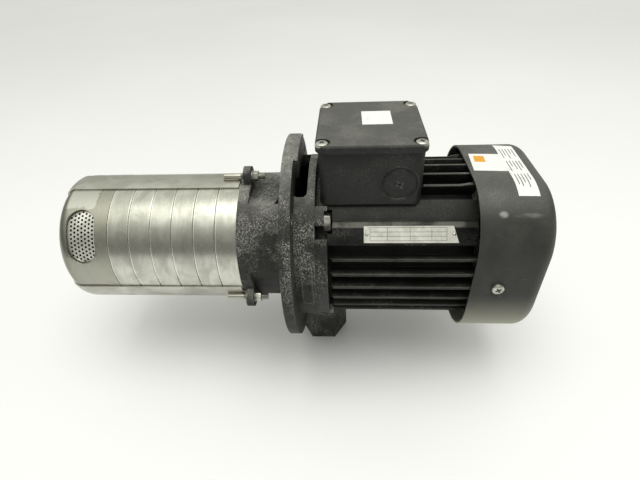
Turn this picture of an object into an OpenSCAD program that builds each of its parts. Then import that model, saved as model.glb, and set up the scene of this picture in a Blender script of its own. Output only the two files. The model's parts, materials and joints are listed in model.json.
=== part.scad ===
// Immersion coolant pump: a six stage pump stack hangs in the tank below a round flange,
// and a finned motor with its terminal box stands on the other side of the flange.
// The shaft runs along X and the strainer points to -X. The terminal box points up and the
// discharge port points down. The origin is on the shaft, in the tank side face of the flange.
// Angles round the shaft are counted from the front, which is -Y, and 90 degrees is up.

/* [Mounting flange] */
// Outer diameter of the flange
flange_d = 180; // [178:1:190]
// Thickness of the flange plate
flange_t = 8.5; // [7:0.5:10]
// Diameter of the bolt circle
bolt_circle_d = 160; // [158:1:162]
// Diameter of the bolt holes
bolt_hole_d = 9; // [7:0.5:10]

/* [Pump head] */
// Length of the head barrel from the flange face to the pump stack
head_l = 39.4; // [38:0.2:44]
// Outer diameter of the head barrel
head_d = 113; // [112.5:0.5:116]
// How far the motor stool stands out past the motor flange
stool_rim = 0.5; // [0.4:0.1:4]
// Wall thickness of the motor stool
stool_wall = 9; // [7:0.5:10]
// Distance from the flange face to the motor joint
stool_l = 24.5; // [24:0.5:30]
// Thickness of the ring that the motor stands on
stool_ring_t = 5.8; // [5:0.2:7]
// Radius that the strap ears reach
ear_reach = 68.3; // [67.5:0.1:70]
// Thickness of a strap ear
ear_t = 6.2; // [5:0.2:7]
// Angle at which the coupling window starts
window_a0 = 60; // [56:1:66]
// Angle at which the coupling window ends
window_a1 = 122; // [116:1:126]

/* [Discharge port] */
// Distance of the port axis from the flange face
port_x = 23.7; // [22.5:0.1:25]
// Distance of the port face from the shaft
port_drop = 121.4; // [118:0.2:130]
// Width of the port hexagon across its flats
port_hex = 40.7; // [38:0.1:44]
// Inner diameter of the port thread
port_thread_d = 24.12; // [21:0.02:26]
// Length of the port thread
port_thread_l = 16; // [14:0.5:18]

/* [Pump stack] */
// Outer diameter of the pump stack
stack_d = 112; // [111:0.5:112.5]
// Length of one pump stage
stage_pitch = 18; // [17.6:0.1:20]
// Wall thickness of a chamber
chamber_wall = 1.8; // [1.4:0.1:2.2]
// Radius of the rounded chamber edges
chamber_edge = 0.9; // [0.6:0.1:0.9]
// Diameter of the impellers
impeller_d = 90; // [84:1:94]
// Height of the impeller blades
blade_h = 5; // [4:0.1:5.2]
// Length of the strainer housing
strainer_l = 44.6; // [43:0.2:50]
// Width of a strainer window along the shaft
inlet_w = 24.8; // [22:0.2:26]
// Angle round the shaft between the ends of a strainer window
inlet_a = 47; // [40:1:52]
// Diameter of the holes in the strainer screen
screen_hole_d = 2; // [1.4:0.1:2.4]
// Distance between neighbouring holes in the strainer screen
screen_hole_pitch = 3.5; // [3.2:0.1:5]
// Diameter of the pump shaft
pump_shaft_d = 12; // [11:0.5:12.5]

/* [Straps] */
// Width of a strap round the stack
strap_w = 24; // [20:0.5:28]
// Thickness of a strap
strap_t = 1.2; // [1:0.1:1.6]
// Diameter of the threaded stud on a strap
stud_d = 5; // [4.6:0.1:5.2]
// Length of the threaded stud
stud_l = 35; // [33:0.5:36]

/* [Motor] */
// Height of a fin above the motor frame
fin_h = 11.3; // [9:0.1:12]
// Outer diameter of the motor frame at the roots of its fins
frame_d = 114; // [112:1:118]
// Wall thickness of the motor frame
frame_wall = 7; // [6:0.2:8]
// Distance of the motor frame's far end from the flange face
frame_end = 147; // [146:0.5:152]
// Thickness of a fin at its tip
fin_t = 2; // [1.6:0.1:2.4]
// Angle between two fins
fin_step = 10.8; // [10.7:0.1:10.9]
// How far the motor flange stands out past the fins
motor_flange_rim = 3.2; // [2.6:0.1:4]
// Thickness of the motor flange
motor_flange_t = 9.5; // [9:0.5:10.5]
// Distance of the motor screws from the edge of the motor flange
motor_screw_inset = 6.5; // [6:0.1:7]
// Diameter of the motor shaft in the coupling
shaft_d = 14; // [13:0.5:15]

/* [Fan cover] */
// Gap between the fin tips and the fan cover
cover_gap = 0.3; // [0.2:0.1:3]
// Radius of the fan cover's four corners
cover_corner = 47; // [42:1:50]
// Radius of the rounded rear edge of the cover
cover_edge = 12; // [8:0.5:14]
// Wall thickness of the fan cover
cover_wall = 1.4; // [1:0.1:1.4]
// Distance of the cover's front rim from the flange face
cover_x0 = 144.4; // [143.5:0.1:146]
// Distance of the cover's rear face from the flange face
cover_x1 = 201; // [200:0.5:206]
// Diameter of the cooling fan
fan_d = 112; // [100:1:118]

/* [Terminal box] */
// Length of the terminal box along the shaft
box_l = 75.6; // [74:0.2:78]
// Depth of the terminal box across the shaft
box_w = 82; // [80:0.5:84]
// Height of the terminal box without its lid
box_h = 41.6; // [39:0.2:46]
// Wall thickness of the terminal box
box_wall = 3; // [2.4:0.1:3.4]
// Distance of the box's near end from the flange face
box_x0 = 28.6; // [28.2:0.1:29.4]
// Height of the lid
lid_h = 5.8; // [5.4:0.2:8]
// Overhang of the lid over the walls of the box
lid_lip = 1.9; // [1:0.1:2]
// Diameter of the cable knock-out
knockout_d = 26.6; // [20:0.2:30]

/* [Hidden] */

// Clearances and overruns
overrun = 1;
fit_gap = 0.03;
screw_gap = 0.05;
run_gap = 0.3;
seat_gap = 0.2;
bearing_gap = 0.07;
face_gap = 0.05;
fuse = 0.2;

// Radii of the motor, from the frame outwards
frame_r = frame_d / 2;
frame_in_r = frame_r - frame_wall;
fin_r = frame_r + fin_h;
motor_flange_r = fin_r + motor_flange_rim;
motor_screw_c = motor_flange_r - motor_screw_inset;
stool_r = motor_flange_r + stool_rim;
cover_w = 2 * (fin_r + cover_gap + cover_wall);

// Colours
cast_black = [0.16, 0.16, 0.15];
paint_black = [0.13, 0.14, 0.13];
steel_grey = [0.70, 0.71, 0.67];
bright_steel = [0.80, 0.80, 0.78];
cover_grey = [0.38, 0.39, 0.37];
box_grey = [0.26, 0.27, 0.26];
copper_red = [0.72, 0.43, 0.25];
seal_black = [0.10, 0.10, 0.10];

// Shapes shared by the pieces
module turn_x() {
    rotate([0, 90, 0]) rotate_extrude($fn = 96) children();
}
module ring_x(x0, x1, r_in, r_out) {
    turn_x() translate([r_in, x0]) square([r_out - r_in, x1 - x0]);
}
module rod_x(x0, x1, r) {
    translate([x0, 0, 0]) rotate([0, 90, 0]) cylinder(r = r, h = x1 - x0, $fn = 64);
}
module extrude_x(x0, x1) {
    translate([x0, 0, 0]) rotate([90, 0, 90]) linear_extrude(x1 - x0) children();
}
module at_angle(a) {
    rotate([-a, 0, 0]) children();
}
// A wedge between two angles, as far out as r at its corners
module sector_x(x0, x1, r, a0, a1) {
    steps = 6;
    arc = [for (i = [0 : steps]) a0 + (a1 - a0) * i / steps];
    extrude_x(x0, x1) polygon(concat([[0, 0]], [for (a = arc) [-r * cos(a), r * sin(a)]]));
}
// A rod that points to the front, from radius r0 to radius r1
module rod_front(r0, r1, r) {
    translate([0, -r0, 0]) rotate([90, 0, 0]) cylinder(r = r, h = r1 - r0, $fn = 48);
}

// Pump stack: the joints between the stages, and the places inside one stage
stack_r = stack_d / 2;
stage_count = 6;
stack_x0 = -head_l - stage_count * stage_pitch;
function stage_x(i) = stack_x0 + (i - 1) * stage_pitch;
chamber_in_r = stack_r - chamber_wall;
plate_t = 1.5;
eye_r = 17;
neck_r = 17.5;
neck_t = 1.6;
neck_x = 0.4;
neck_ring_t = 2;
neck_ring_w = 4.5;
shroud_t = 1;
shroud_gap = 0.6;
shroud_x = neck_ring_t + shroud_gap;
impeller_r = impeller_d / 2;
hub_r = 10;
back_t = 1.2;
back_x = shroud_x + shroud_t + blade_h;
hub_end_x = back_x + back_t;
disc_gap = 0.8;
disc_t = 1;
disc_x = hub_end_x + disc_gap;
disc_bore_r = 12.5;
disc_gap_r = 4.2;
disc_r = chamber_in_r - disc_gap_r;
vane_x = disc_x + disc_t;
vane_h = stage_pitch - plate_t - vane_x;
vane_t = 1.4;
vane_count = 8;
blade_t = 1.4;
blade_count = 7;
spigot_t = 1.5;
spigot_l = 1.2;
shaft_r = pump_shaft_d / 2;
spacer_wall = 2.5;
spacer_r = shaft_r + spacer_wall;

// A curved strip from radius r_in to radius r_out, part of a ring that passes near the shaft
module curved_strip(r_in, r_out, t) {
    arc_r = r_out * 0.62;
    intersection() {
        translate([0, arc_r - r_in * 0.2]) difference() {
            circle(r = arc_r, $fn = 64);
            circle(r = arc_r - t, $fn = 64);
        }
        difference() {
            circle(r = r_out, $fn = 96);
            circle(r = r_in, $fn = 96);
        }
        translate([0, -r_out]) square([r_out, 2 * r_out]);
    }
}
module stage_plate(x_right) {
    turn_x() translate([eye_r, x_right - plate_t]) square([stack_r - chamber_wall / 2 - eye_r, plate_t]);
}
module spigot(x_right) {
    r_out = chamber_in_r - screw_gap;
    turn_x() translate([r_out - spigot_t, x_right - plate_t]) square([spigot_t, plate_t + spigot_l]);
}
module round_sleeve(x0, x1, edge0, edge1) {
    turn_x() union() {
        translate([chamber_in_r, x0]) square([chamber_wall - chamber_edge, x1 - x0]);
        translate([chamber_in_r, x0 + edge0]) square([chamber_wall, x1 - x0 - edge0 - edge1]);
        if (edge0 > 0) translate([stack_r - edge0, x0 + edge0]) circle(r = edge0, $fn = 32);
        if (edge1 > 0) translate([stack_r - edge1, x1 - edge1]) circle(r = edge1, $fn = 32);
    }
}
// One chamber: sleeve, end plate, return vanes and the disc that they carry
module chamber(i) {
    a = stage_x(i);
    b = a + stage_pitch;
    color(steel_grey) union() {
        round_sleeve(a, b, chamber_edge, chamber_edge);
        stage_plate(b);
        spigot(b);
        ring_x(a + disc_x, a + vane_x, disc_bore_r, disc_r);
        for (k = [0 : vane_count - 1])
            rotate([k * 360 / vane_count, 0, 0])
                extrude_x(a + vane_x - disc_t / 2, b - plate_t / 2)
                    curved_strip(eye_r + spigot_t, disc_r - spigot_t, vane_t);
    }
}
// One impeller: hub, eye neck, two shrouds and the curved blades between them
module impeller(i) {
    a = stage_x(i);
    front = a + shroud_x;
    color(bright_steel) union() {
        turn_x() union() {
            translate([neck_r - neck_t, a + neck_x]) square([neck_t, shroud_x - neck_x + shroud_t]);
            translate([neck_r - neck_t, front]) square([impeller_r - neck_r + neck_t, shroud_t]);
            translate([shaft_r + fit_gap, front]) square([hub_r - shaft_r - fit_gap, hub_end_x - shroud_x]);
            translate([hub_r - fuse, a + back_x]) square([impeller_r - hub_r + fuse, back_t]);
        }
        for (k = [0 : blade_count - 1])
            rotate([k * 360 / blade_count, 0, 0])
                extrude_x(front + shroud_t / 2, a + back_x + back_t / 2)
                    curved_strip(neck_r, impeller_r - blade_t, blade_t);
    }
}
module neck_rings() {
    color(bright_steel) for (i = [1 : stage_count])
        ring_x(stage_x(i), stage_x(i) + neck_ring_t, neck_r + run_gap, neck_r + neck_ring_w);
}
module impeller_spacers() {
    color(bright_steel) for (i = [1 : stage_count]) {
        x0 = stage_x(i) + hub_end_x;
        x1 = i < stage_count ? stage_x(i + 1) + shroud_x : bellows_x0;
        ring_x(x0, x1, shaft_r + fit_gap, spacer_r);
    }
}

// Strainer: a pressed cup with three windows, and a perforated screen inside it
strap_angles = [92, -28, 212];
inlet_turn = 3;
inlet_angles = [for (a = strap_angles) a - 60 + inlet_turn];
strainer_x0 = stack_x0 - strainer_l;
cup_edge = 9;
cup_wall = chamber_wall;
inlet_gap = 10.5;
inlet_x = stack_x0 - inlet_gap - inlet_w / 2;
bush_holder_l = 9;
bush_gap = 5;
bush_x1 = stack_x0 - bush_gap;
bush_x0 = bush_x1 - bush_holder_l;
bush_wall = 3;
bush_r = shaft_r + bush_wall;
bush_holder_r = bush_r + bush_wall;
spider_r = 40;
spider_t = 5;
screen_gap = 0.8;
screen_r = chamber_in_r - screen_gap;
screen_t = 0.8;
module cup_profile(r, x0, x1, edge) {
    translate([0, x0]) square([r - edge, x1 - x0]);
    translate([0, x0 + edge]) square([r, x1 - x0 - edge]);
    translate([r - edge, x0 + edge]) circle(r = edge, $fn = 64);
}
module inlet_cut(a) {
    half = stack_r * sin(inlet_a / 2) - inlet_w / 2;
    at_angle(a) translate([inlet_x, -stack_r / 2, 0]) rotate([90, 0, 0])
        linear_extrude(stack_r / 2 + overrun) union() {
            square([inlet_w, 2 * half], center = true);
            for (s = [-1, 1]) translate([0, s * half]) circle(r = inlet_w / 2, $fn = 64);
        }
}
module strainer_housing() {
    color(steel_grey) union() {
        difference() {
            turn_x() intersection() {
                cup_profile(stack_r, strainer_x0, stack_x0, cup_edge);
                translate([0, strainer_x0]) square([stack_r, strainer_l]);
            }
            turn_x() intersection() {
                cup_profile(chamber_in_r, strainer_x0 + cup_wall, stack_x0, cup_edge - cup_wall);
                translate([0, strainer_x0]) square([stack_r, strainer_l - plate_t]);
            }
            rod_x(stack_x0 - plate_t - overrun, stack_x0 + overrun, eye_r);
            for (a = inlet_angles) inlet_cut(a);
        }
        spigot(stack_x0);
        ring_x(bush_x0, bush_x1, bush_r, bush_holder_r);
        for (a = strap_angles) at_angle(a) difference() {
            translate([bush_x0 + fuse, -spider_r, -spider_t / 2])
                cube([stack_x0 - plate_t / 2 - bush_x0 - fuse, spider_r - bush_r - fuse, spider_t]);
            rod_x(bush_x1 - fuse, stack_x0 + overrun, eye_r + plate_t);
        }
    }
}
module strainer_screen() {
    row = screen_hole_pitch * cos(30);
    rows = floor((inlet_w - screen_hole_d) / row / 2);
    step_a = screen_hole_pitch / screen_r * 180 / PI;
    holes = floor(inlet_a / 2 / step_a);
    reach = inlet_a / 2 * PI / 180 * screen_r - inlet_w / 2;
    color(steel_grey) difference() {
        ring_x(strainer_x0 + cup_edge, stack_x0 - plate_t, screen_r - screen_t, screen_r);
        for (w = inlet_angles, i = [-rows : rows], k = [-holes : holes]) {
            a = (k + (abs(i) % 2) / 2) * step_a;
            over = max(0, abs(a) * PI / 180 * screen_r - reach);
            if (norm([i * row, over]) < inlet_w / 2 - screen_hole_d / 4)
                at_angle(w + a) translate([inlet_x + i * row, 0, 0])
                    rod_front(screen_r - screen_t - overrun, screen_r + overrun, screen_hole_d / 2);
        }
    }
}
module inlet_bush() {
    color(seal_black) ring_x(bush_x0, bush_x1, shaft_r + screw_gap, bush_r - fit_gap);
}

// Straps: each hooks over the rim of the strainer and carries a welded stud
strap_gap = 0.1;
strap_in_r = stack_r + strap_gap;
strap_a = strap_w / stack_r * 180 / PI;
strap_end_gap = 1.6;
strap_end_x = -head_l - strap_end_gap;
strap_hook = 9;
stud_r = stud_d / 2;
stud_c = strap_in_r + strap_t + stud_r;
ear_gap = 2.2;
ear_x1 = -head_l + ear_gap + ear_t;
nut_washer_t = 1;
nut_af = 8;
nut_h = 4.7;
stud_back = 15.4;
stud_x0 = -head_l - stud_back;
module strap_profile() {
    edge = cup_edge + strap_gap;
    x_end = strainer_x0 - strap_gap;
    translate([strap_in_r, x_end + edge]) square([strap_t, strap_end_x - x_end - edge]);
    intersection() {
        translate([strap_in_r - edge, x_end + edge]) difference() {
            circle(r = edge + strap_t, $fn = 64);
            circle(r = edge, $fn = 64);
        }
        translate([strap_in_r - edge, x_end - strap_t]) square([edge + strap_t, edge + strap_t]);
    }
    translate([strap_in_r - edge - strap_hook, x_end - strap_t]) square([strap_hook, strap_t]);
}
module strap(i) {
    weld = stud_r * 0.7;
    color(steel_grey) at_angle(strap_angles[i - 1]) union() {
        rotate([0, 90, 0]) rotate([0, 0, -90 - strap_a / 2])
            rotate_extrude(angle = strap_a, $fn = 96) strap_profile();
        translate([stud_x0, -stud_c, 0]) rotate([0, 90, 0]) cylinder(r = stud_r, h = stud_l, $fn = 32);
        translate([stud_x0, -stud_c, -weld])
            cube([strap_end_x - stud_x0 - weld, stud_r + strap_t / 2, 2 * weld]);
    }
}
module strap_washers() {
    color(bright_steel) for (a = strap_angles) at_angle(a)
        translate([ear_x1, -stud_c, 0]) rotate([0, 90, 0]) difference() {
            cylinder(r = nut_af * 0.62, h = nut_washer_t, $fn = 32);
            translate([0, 0, -overrun])
                cylinder(r = stud_r + screw_gap, h = nut_washer_t + 2 * overrun, $fn = 32);
        }
}
module strap_nuts() {
    color(bright_steel) for (a = strap_angles) at_angle(a)
        translate([ear_x1 + nut_washer_t, -stud_c, 0]) rotate([0, 90, 0]) difference() {
            cylinder(r = nut_af / 2 / cos(30), h = nut_h, $fn = 6);
            translate([0, 0, -overrun])
                cylinder(r = stud_r + screw_gap, h = nut_h + 2 * overrun, $fn = 32);
        }
}

// Pump head: a barrel that passes through the flange, the motor stool and the discharge boss
head_r = head_d / 2;
stool_in_r = stool_r - stool_wall;
pocket_drop = 11.4;
pocket_floor = stud_c - pocket_drop;
pocket_half = sqrt(pow(head_r, 2) - pow(pocket_floor, 2));
barrel_wall = 4;
cavity_r = pocket_floor - barrel_wall;
seal_wall_x0 = -16;
seal_wall_x1 = -8;
duct_z = 42;
duct_r = 8;
duct_wall = 3.5;
duct_bulge = 0.4;
duct_x = 10;
pocket_end = -3.2;
slot_d = 4;
slot_w = 6.6;
motor_spigot_inset = 10;
motor_spigot_r = motor_screw_c - motor_spigot_inset;
motor_spigot_wall = 5;
motor_spigot_l = 2.5;
motor_spigot_gap = 0.1;
port_step = 1.5;
port_bore_r = port_thread_d / 2 - port_step;
port_sink = 3;
port_top = stool_in_r + port_sink;
motor_round_gap = 2;
pad_h = 3.4;
pad_a0 = 75;
pad_a1 = 108;
frame_mark_x0 = 12.6;
frame_mark_w = 9.4;
frame_mark_a = 15.5;
frame_mark_h = 0.8;
frame_mark_rim = 1.3;
motor_screw_r = 4;
motor_angles = [45, 135, 225, 315];
bolt_angles = [45, 135, 225, 315];
ear_hole_r = stud_r + run_gap;
module head_pocket() {
    x0 = ear_x1;
    half = pocket_half;
    translate([x0, -stool_r, -half - ear_t]) cube([pocket_end - x0, stool_r - pocket_floor, 2 * (half + ear_t)]);
    translate([pocket_end, -pocket_floor - overrun, 0]) rotate([-90, 0, 0]) linear_extrude(slot_d + overrun)
        polygon([[-fuse, -half * 0.05], [-slot_w, half * 0.92], [-fuse, half * 0.92]]);
}
module strap_ear() {
    ear_r = ear_reach - stud_c;
    x0 = ear_x1 - ear_t;
    translate([x0, -stud_c, 0]) rotate([0, 90, 0]) cylinder(r = ear_r, h = ear_t, $fn = 48);
    translate([x0, -stud_c, -ear_r]) cube([ear_t, stud_c - pocket_floor + overrun, 2 * ear_r]);
}
module stool_window() {
    x0 = flange_t - overrun;
    x1 = stool_l - stool_ring_t - fuse;
    y0 = -stool_r * cos(window_a0);
    y1 = -stool_r * cos(window_a1);
    translate([(x0 + x1) / 2, (y0 + y1) / 2, stool_in_r / 2]) linear_extrude(2 * stool_r)
        rounded_rect(x1 - x0, y1 - y0, (x1 - x0) * 0.35);
}
module cast_frame_mark() {
    half = stool_r * sin(frame_mark_a);
    intersection() {
        rod_x(frame_mark_x0, frame_mark_x0 + frame_mark_w, stool_r + frame_mark_h);
        difference() {
            translate([frame_mark_x0, -stool_r - overrun, -half]) cube([frame_mark_w, stool_wall, 2 * half]);
            translate([frame_mark_x0 + frame_mark_rim, -stool_r - 2 * overrun, -half + frame_mark_rim])
                cube([frame_mark_w - 2 * frame_mark_rim, 2 * stool_wall, 2 * (half - frame_mark_rim)]);
        }
    }
}
// The horizontal and the upright length of the discharge duct
module duct_walls() {
    intersection() {
        union() {
            translate([duct_x, 0, -port_top])
                cylinder(r = duct_r + duct_wall + duct_bulge, h = port_top - duct_z + duct_r + duct_wall);
            translate([seal_wall_x1 - fuse, 0, -duct_z]) rotate([0, 90, 0])
                cylinder(r = duct_r + duct_wall, h = duct_x - seal_wall_x1 + fuse);
        }
        union() {
            rod_x(seal_wall_x1 - overrun, overrun, pocket_floor);
            rod_x(fuse, stool_l, stool_r);
        }
    }
}
// Every hole that is drilled or cored through the lengths of the head
module head_bores() {
    for (a = strap_angles) at_angle(a) translate([ear_x1 - ear_t - overrun, -stud_c, 0])
        rotate([0, 90, 0]) cylinder(r = ear_hole_r, h = ear_t + 2 * overrun, $fn = 32);
    for (a = bolt_angles) at_angle(a) translate([-overrun, -bolt_circle_d / 2, 0])
        rotate([0, 90, 0]) cylinder(r = bolt_hole_d / 2, h = flange_t + 2 * overrun, $fn = 32);
    for (a = motor_angles) at_angle(a) translate([stool_l - stool_ring_t - overrun, -motor_screw_c, 0])
        rotate([0, 90, 0])
            cylinder(r = motor_screw_r + screw_gap, h = stool_ring_t + 2 * overrun, $fn = 32);
    rod_x(seal_wall_x0 - overrun, seal_wall_x1 + overrun, seal_bore_r);
    rod_x(seal_wall_x0 - overrun, seat_back_x, seat_r + screw_gap);
    translate([seal_wall_x0 - overrun, 0, -duct_z]) rotate([0, 90, 0])
        cylinder(r = duct_r, h = duct_x - seal_wall_x0 + overrun, $fn = 48);
    translate([duct_x, 0, -port_top - duct_z / 2])
        cylinder(r = duct_r + duct_bulge, h = port_top - duct_z / 2 + duct_r + duct_bulge, $fn = 48);
    translate([port_x, 0, -port_drop - overrun])
        cylinder(r = port_thread_d / 2, h = port_thread_l + overrun, $fn = 64);
    translate([port_x, 0, -port_drop])
        cylinder(r = port_bore_r, h = port_drop - port_top - duct_r, $fn = 64);
}
module pump_head() {
    color(cast_black) intersection() {
        union() {
            rod_x(-head_l - overrun, 0, flange_d / 2);
            rod_x(-fuse, flange_t, head_r);
        }
        difference() {
            union() {
                difference() {
                    rod_x(-head_l, flange_t, head_r);
                    for (a = strap_angles) at_angle(a) head_pocket();
                    rod_x(-head_l - overrun, -head_l + spigot_l + face_gap, chamber_in_r);
                    rod_x(-head_l - overrun, seal_wall_x0, cavity_r);
                    rod_x(seal_wall_x1, flange_t, cavity_r - slot_d / 2);
                    rod_x(flange_t / 2, flange_t + overrun, stool_in_r);
                }
                for (a = strap_angles) at_angle(a) strap_ear();
                duct_walls();
            }
            head_bores();
        }
    }
}
module mounting_flange() {
    color(cast_black) difference() {
        union() {
            intersection() {
                rod_x(0, flange_t, flange_d);
                union() {
                    difference() {
                        rod_x(-overrun, flange_t + overrun, flange_d / 2);
                        rod_x(flange_t / 2, flange_t + 2 * overrun, stool_in_r);
                    }
                    duct_walls();
                }
            }
            intersection() {
                ring_x(flange_t - overrun, flange_t + pad_h, stool_r + face_gap, flange_d / 2);
                sector_x(0, stool_l, flange_d, pad_a0, pad_a1);
            }
        }
        rod_x(-overrun, flange_t + overrun, head_r);
        head_bores();
    }
}
module motor_stool() {
    color(cast_black) intersection() {
        rod_x(flange_t, stool_l, flange_d);
        difference() {
            union() {
                difference() {
                    union() {
                        rod_x(flange_t - overrun, stool_l + overrun, stool_r);
                        cast_frame_mark();
                    }
                    rod_x(flange_t - 2 * overrun, stool_l - stool_ring_t, stool_in_r);
                    rod_x(flange_t, stool_l + 2 * overrun, motor_spigot_r + motor_spigot_gap);
                    stool_window();
                }
                duct_walls();
            }
            head_bores();
        }
    }
}
// The hexagonal boss of the discharge port, which points down below the stool
module discharge_boss() {
    port_r = port_hex / 2 / cos(30);
    color(cast_black) difference() {
        translate([port_x, 0, -port_drop]) cylinder(r = port_r, h = port_drop - port_top, $fn = 6);
        rod_x(-overrun, flange_t + fit_gap, flange_d / 2 + fit_gap);
        rod_x(flange_t, stool_l + fuse, stool_r + fit_gap);
        rod_x(stool_l, port_x + 2 * port_r, stool_r + motor_round_gap);
        head_bores();
    }
}

// Shaft seal: a ring turning with the shaft runs on a seat pressed into the head
seal_bore_gap = 2.5;
seal_bore_r = shaft_r + seal_bore_gap;
seat_r = 14;
seat_lip = 2;
seat_back_x = seal_wall_x1 - seat_lip;
seat_stand = 1.5;
seat_front_x = seal_wall_x0 - seat_stand;
seal_head_l = 6.5;
seal_head_r = 12.5;
seal_head_x1 = seat_front_x - face_gap;
seal_head_x0 = seal_head_x1 - seal_head_l;
bellows_l = 8;
bellows_x0 = seal_head_x0 - bellows_l;
module seal_seat() {
    color(seal_black) ring_x(seat_front_x, seat_back_x, seal_bore_r, seat_r);
}
module seal_head() {
    color(bright_steel) ring_x(seal_head_x0, seal_head_x1, shaft_r + fit_gap, seal_head_r);
}
module seal_bellows() {
    folds = 3;
    fold_l = bellows_l / folds;
    color(seal_black) turn_x() union() {
        translate([shaft_r + fit_gap, bellows_x0]) square([spacer_r - shaft_r, bellows_l]);
        for (k = [0 : folds - 1])
            translate([spacer_r, bellows_x0 + k * fold_l]) polygon([
                [-fuse, 0], [seal_head_r - spacer_r - fold_l / 2, fold_l * 0.3],
                [seal_head_r - spacer_r - fold_l / 2, fold_l * 0.7], [-fuse, fold_l]
            ]);
    }
}

// Pump shaft with its end nut, and the split coupling that clamps both shafts
coupling_r = 19;
coupling_x0 = -5;
coupling_gap = 1.5;
coupling_x1 = stool_l - motor_spigot_l - coupling_gap;
coupling_mid = (coupling_x0 + coupling_x1) / 2;
coupling_split = 0.6;
coupling_screw_r = 2.5;
coupling_head_r = 4.2;
coupling_head_h = 4;
coupling_screw_z = 13;
coupling_screw_in = 6.5;
shaft_tip = 3;
shaft_nut_l = 7;
shaft_nut_af = 17;
motor_shaft_r = shaft_d / 2;
module pump_shaft() {
    color(bright_steel) rod_x(bush_x0 - shaft_tip, coupling_mid - seat_gap, shaft_r);
}
module shaft_nut() {
    x1 = stage_x(1) + shroud_x;
    color(bright_steel) difference() {
        translate([x1 - shaft_nut_l, 0, 0]) rotate([0, 90, 0])
            cylinder(r = shaft_nut_af / 2 / cos(30), h = shaft_nut_l, $fn = 6);
        rod_x(x1 - shaft_nut_l - overrun, x1 + overrun, shaft_r + fit_gap);
    }
}
function coupling_screw_places() = [
    for (x = [coupling_x0, coupling_x1], z = [-1, 1])
        [x < coupling_mid ? x + coupling_screw_in : x - coupling_screw_in, z * coupling_screw_z]
];
module coupling_half(side) {
    color(cast_black) difference() {
        intersection() {
            rod_x(coupling_x0, coupling_x1, coupling_r);
            translate([coupling_x0, side < 0 ? -coupling_r : coupling_split / 2, -coupling_r])
                cube([coupling_x1 - coupling_x0, coupling_r - coupling_split / 2, 2 * coupling_r]);
        }
        rod_x(coupling_x0 - overrun, coupling_mid + fuse, shaft_r + fit_gap);
        rod_x(coupling_mid, coupling_x1 + overrun, motor_shaft_r + fit_gap);
        for (p = coupling_screw_places()) translate([p[0], 0, p[1]]) {
            rod_front(-coupling_r, coupling_r, coupling_screw_r + screw_gap);
            rod_front(coupling_head_h + coupling_head_r, coupling_r + overrun, coupling_head_r + seat_gap);
        }
    }
}
module coupling_screws() {
    under_head = coupling_head_h + coupling_head_r;
    color(bright_steel) for (p = coupling_screw_places()) translate([p[0], 0, p[1]]) union() {
        rod_front(under_head, under_head + coupling_head_h, coupling_head_r);
        rod_front(-under_head, under_head + fuse, coupling_screw_r);
    }
}

// Motor flange: the drive end shield, which stands on the stool
motor_x0 = stool_l;
motor_x1 = stool_l + motor_flange_t;
shield_web = 6.5;
register_l = 3;
register_t = 4;
drive_bearing_gap = 3.5;
drive_bearing_x = stool_l + drive_bearing_gap;
drive_bearing_w = 14;
drive_bearing_r = 23.5;
drive_hub_r = 28;
drive_shaft_r = 10;
drive_hole_r = 11.5;
screw_seat_gap = 7;
screw_seat_x = stool_l + screw_seat_gap;
screw_head_af = 13;
screw_head_h = 5.3;
screw_pocket_r = 9.5;
top_gap_a0 = 54;
top_gap_a1 = 129;
top_gap_step = 0.5;
top_gap_r = frame_r + top_gap_step;
notch_a0 = 33;
notch_a1 = 42;
frame_screw_r = 2.5;
frame_screw_pcd = frame_in_r + frame_r;
frame_screw_head_r = 4.2;
frame_screw_head_h = 3;
frame_screw_l = 14;
drive_screw_angles = [0, 90, 180, 270];
fan_screw_angles = [45, 135, 225, 315];
module motor_flange() {
    color(cast_black) difference() {
        union() {
            ring_x(motor_x0, motor_x0 + shield_web, drive_hole_r, motor_flange_r);
            ring_x(motor_x0, motor_x1, frame_in_r, motor_flange_r);
            ring_x(motor_x0, drive_bearing_x + drive_bearing_w + overrun, drive_hole_r, drive_hub_r);
            ring_x(motor_x0 - motor_spigot_l, motor_x0 + fuse, motor_spigot_r - motor_spigot_wall, motor_spigot_r);
            ring_x(motor_x0 + shield_web - fuse, motor_x1 + register_l,
                frame_in_r - register_t, frame_in_r - screw_gap);
        }
        rod_x(drive_bearing_x, motor_x1 + frame_in_r, drive_bearing_r);
        for (a = motor_angles) at_angle(a) translate([0, -motor_screw_c, 0]) rotate([0, 90, 0]) {
            translate([0, 0, motor_x0 - overrun])
                cylinder(r = motor_screw_r + run_gap, h = motor_flange_t + 2 * overrun, $fn = 32);
            translate([0, 0, screw_seat_x]) cylinder(r = screw_pocket_r, h = motor_flange_t, $fn = 48);
        }
        for (a = drive_screw_angles) at_angle(a) translate([0, -frame_screw_pcd / 2, 0]) rotate([0, 90, 0]) {
            translate([0, 0, motor_x0 - motor_spigot_l - overrun])
                cylinder(r = frame_screw_head_r + seat_gap, h = motor_spigot_l + screw_depth + overrun, $fn = 32);
            translate([0, 0, motor_x0]) cylinder(r = frame_screw_r + seat_gap, h = motor_flange_t * 2, $fn = 32);
        }
        difference() {
            union() {
                sector_x(motor_x0 - overrun, motor_x1 + overrun, 2 * motor_flange_r, top_gap_a0, top_gap_a1);
                for (a = [notch_a0, 183 - notch_a1])
                    sector_x(motor_x0 - overrun, motor_x1 + overrun, 2 * motor_flange_r,
                        a, a + notch_a1 - notch_a0);
            }
            rod_x(motor_x0 - 2 * overrun, motor_x1 + 2 * overrun, top_gap_r);
        }
    }
}
screw_depth = 3.6;
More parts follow.
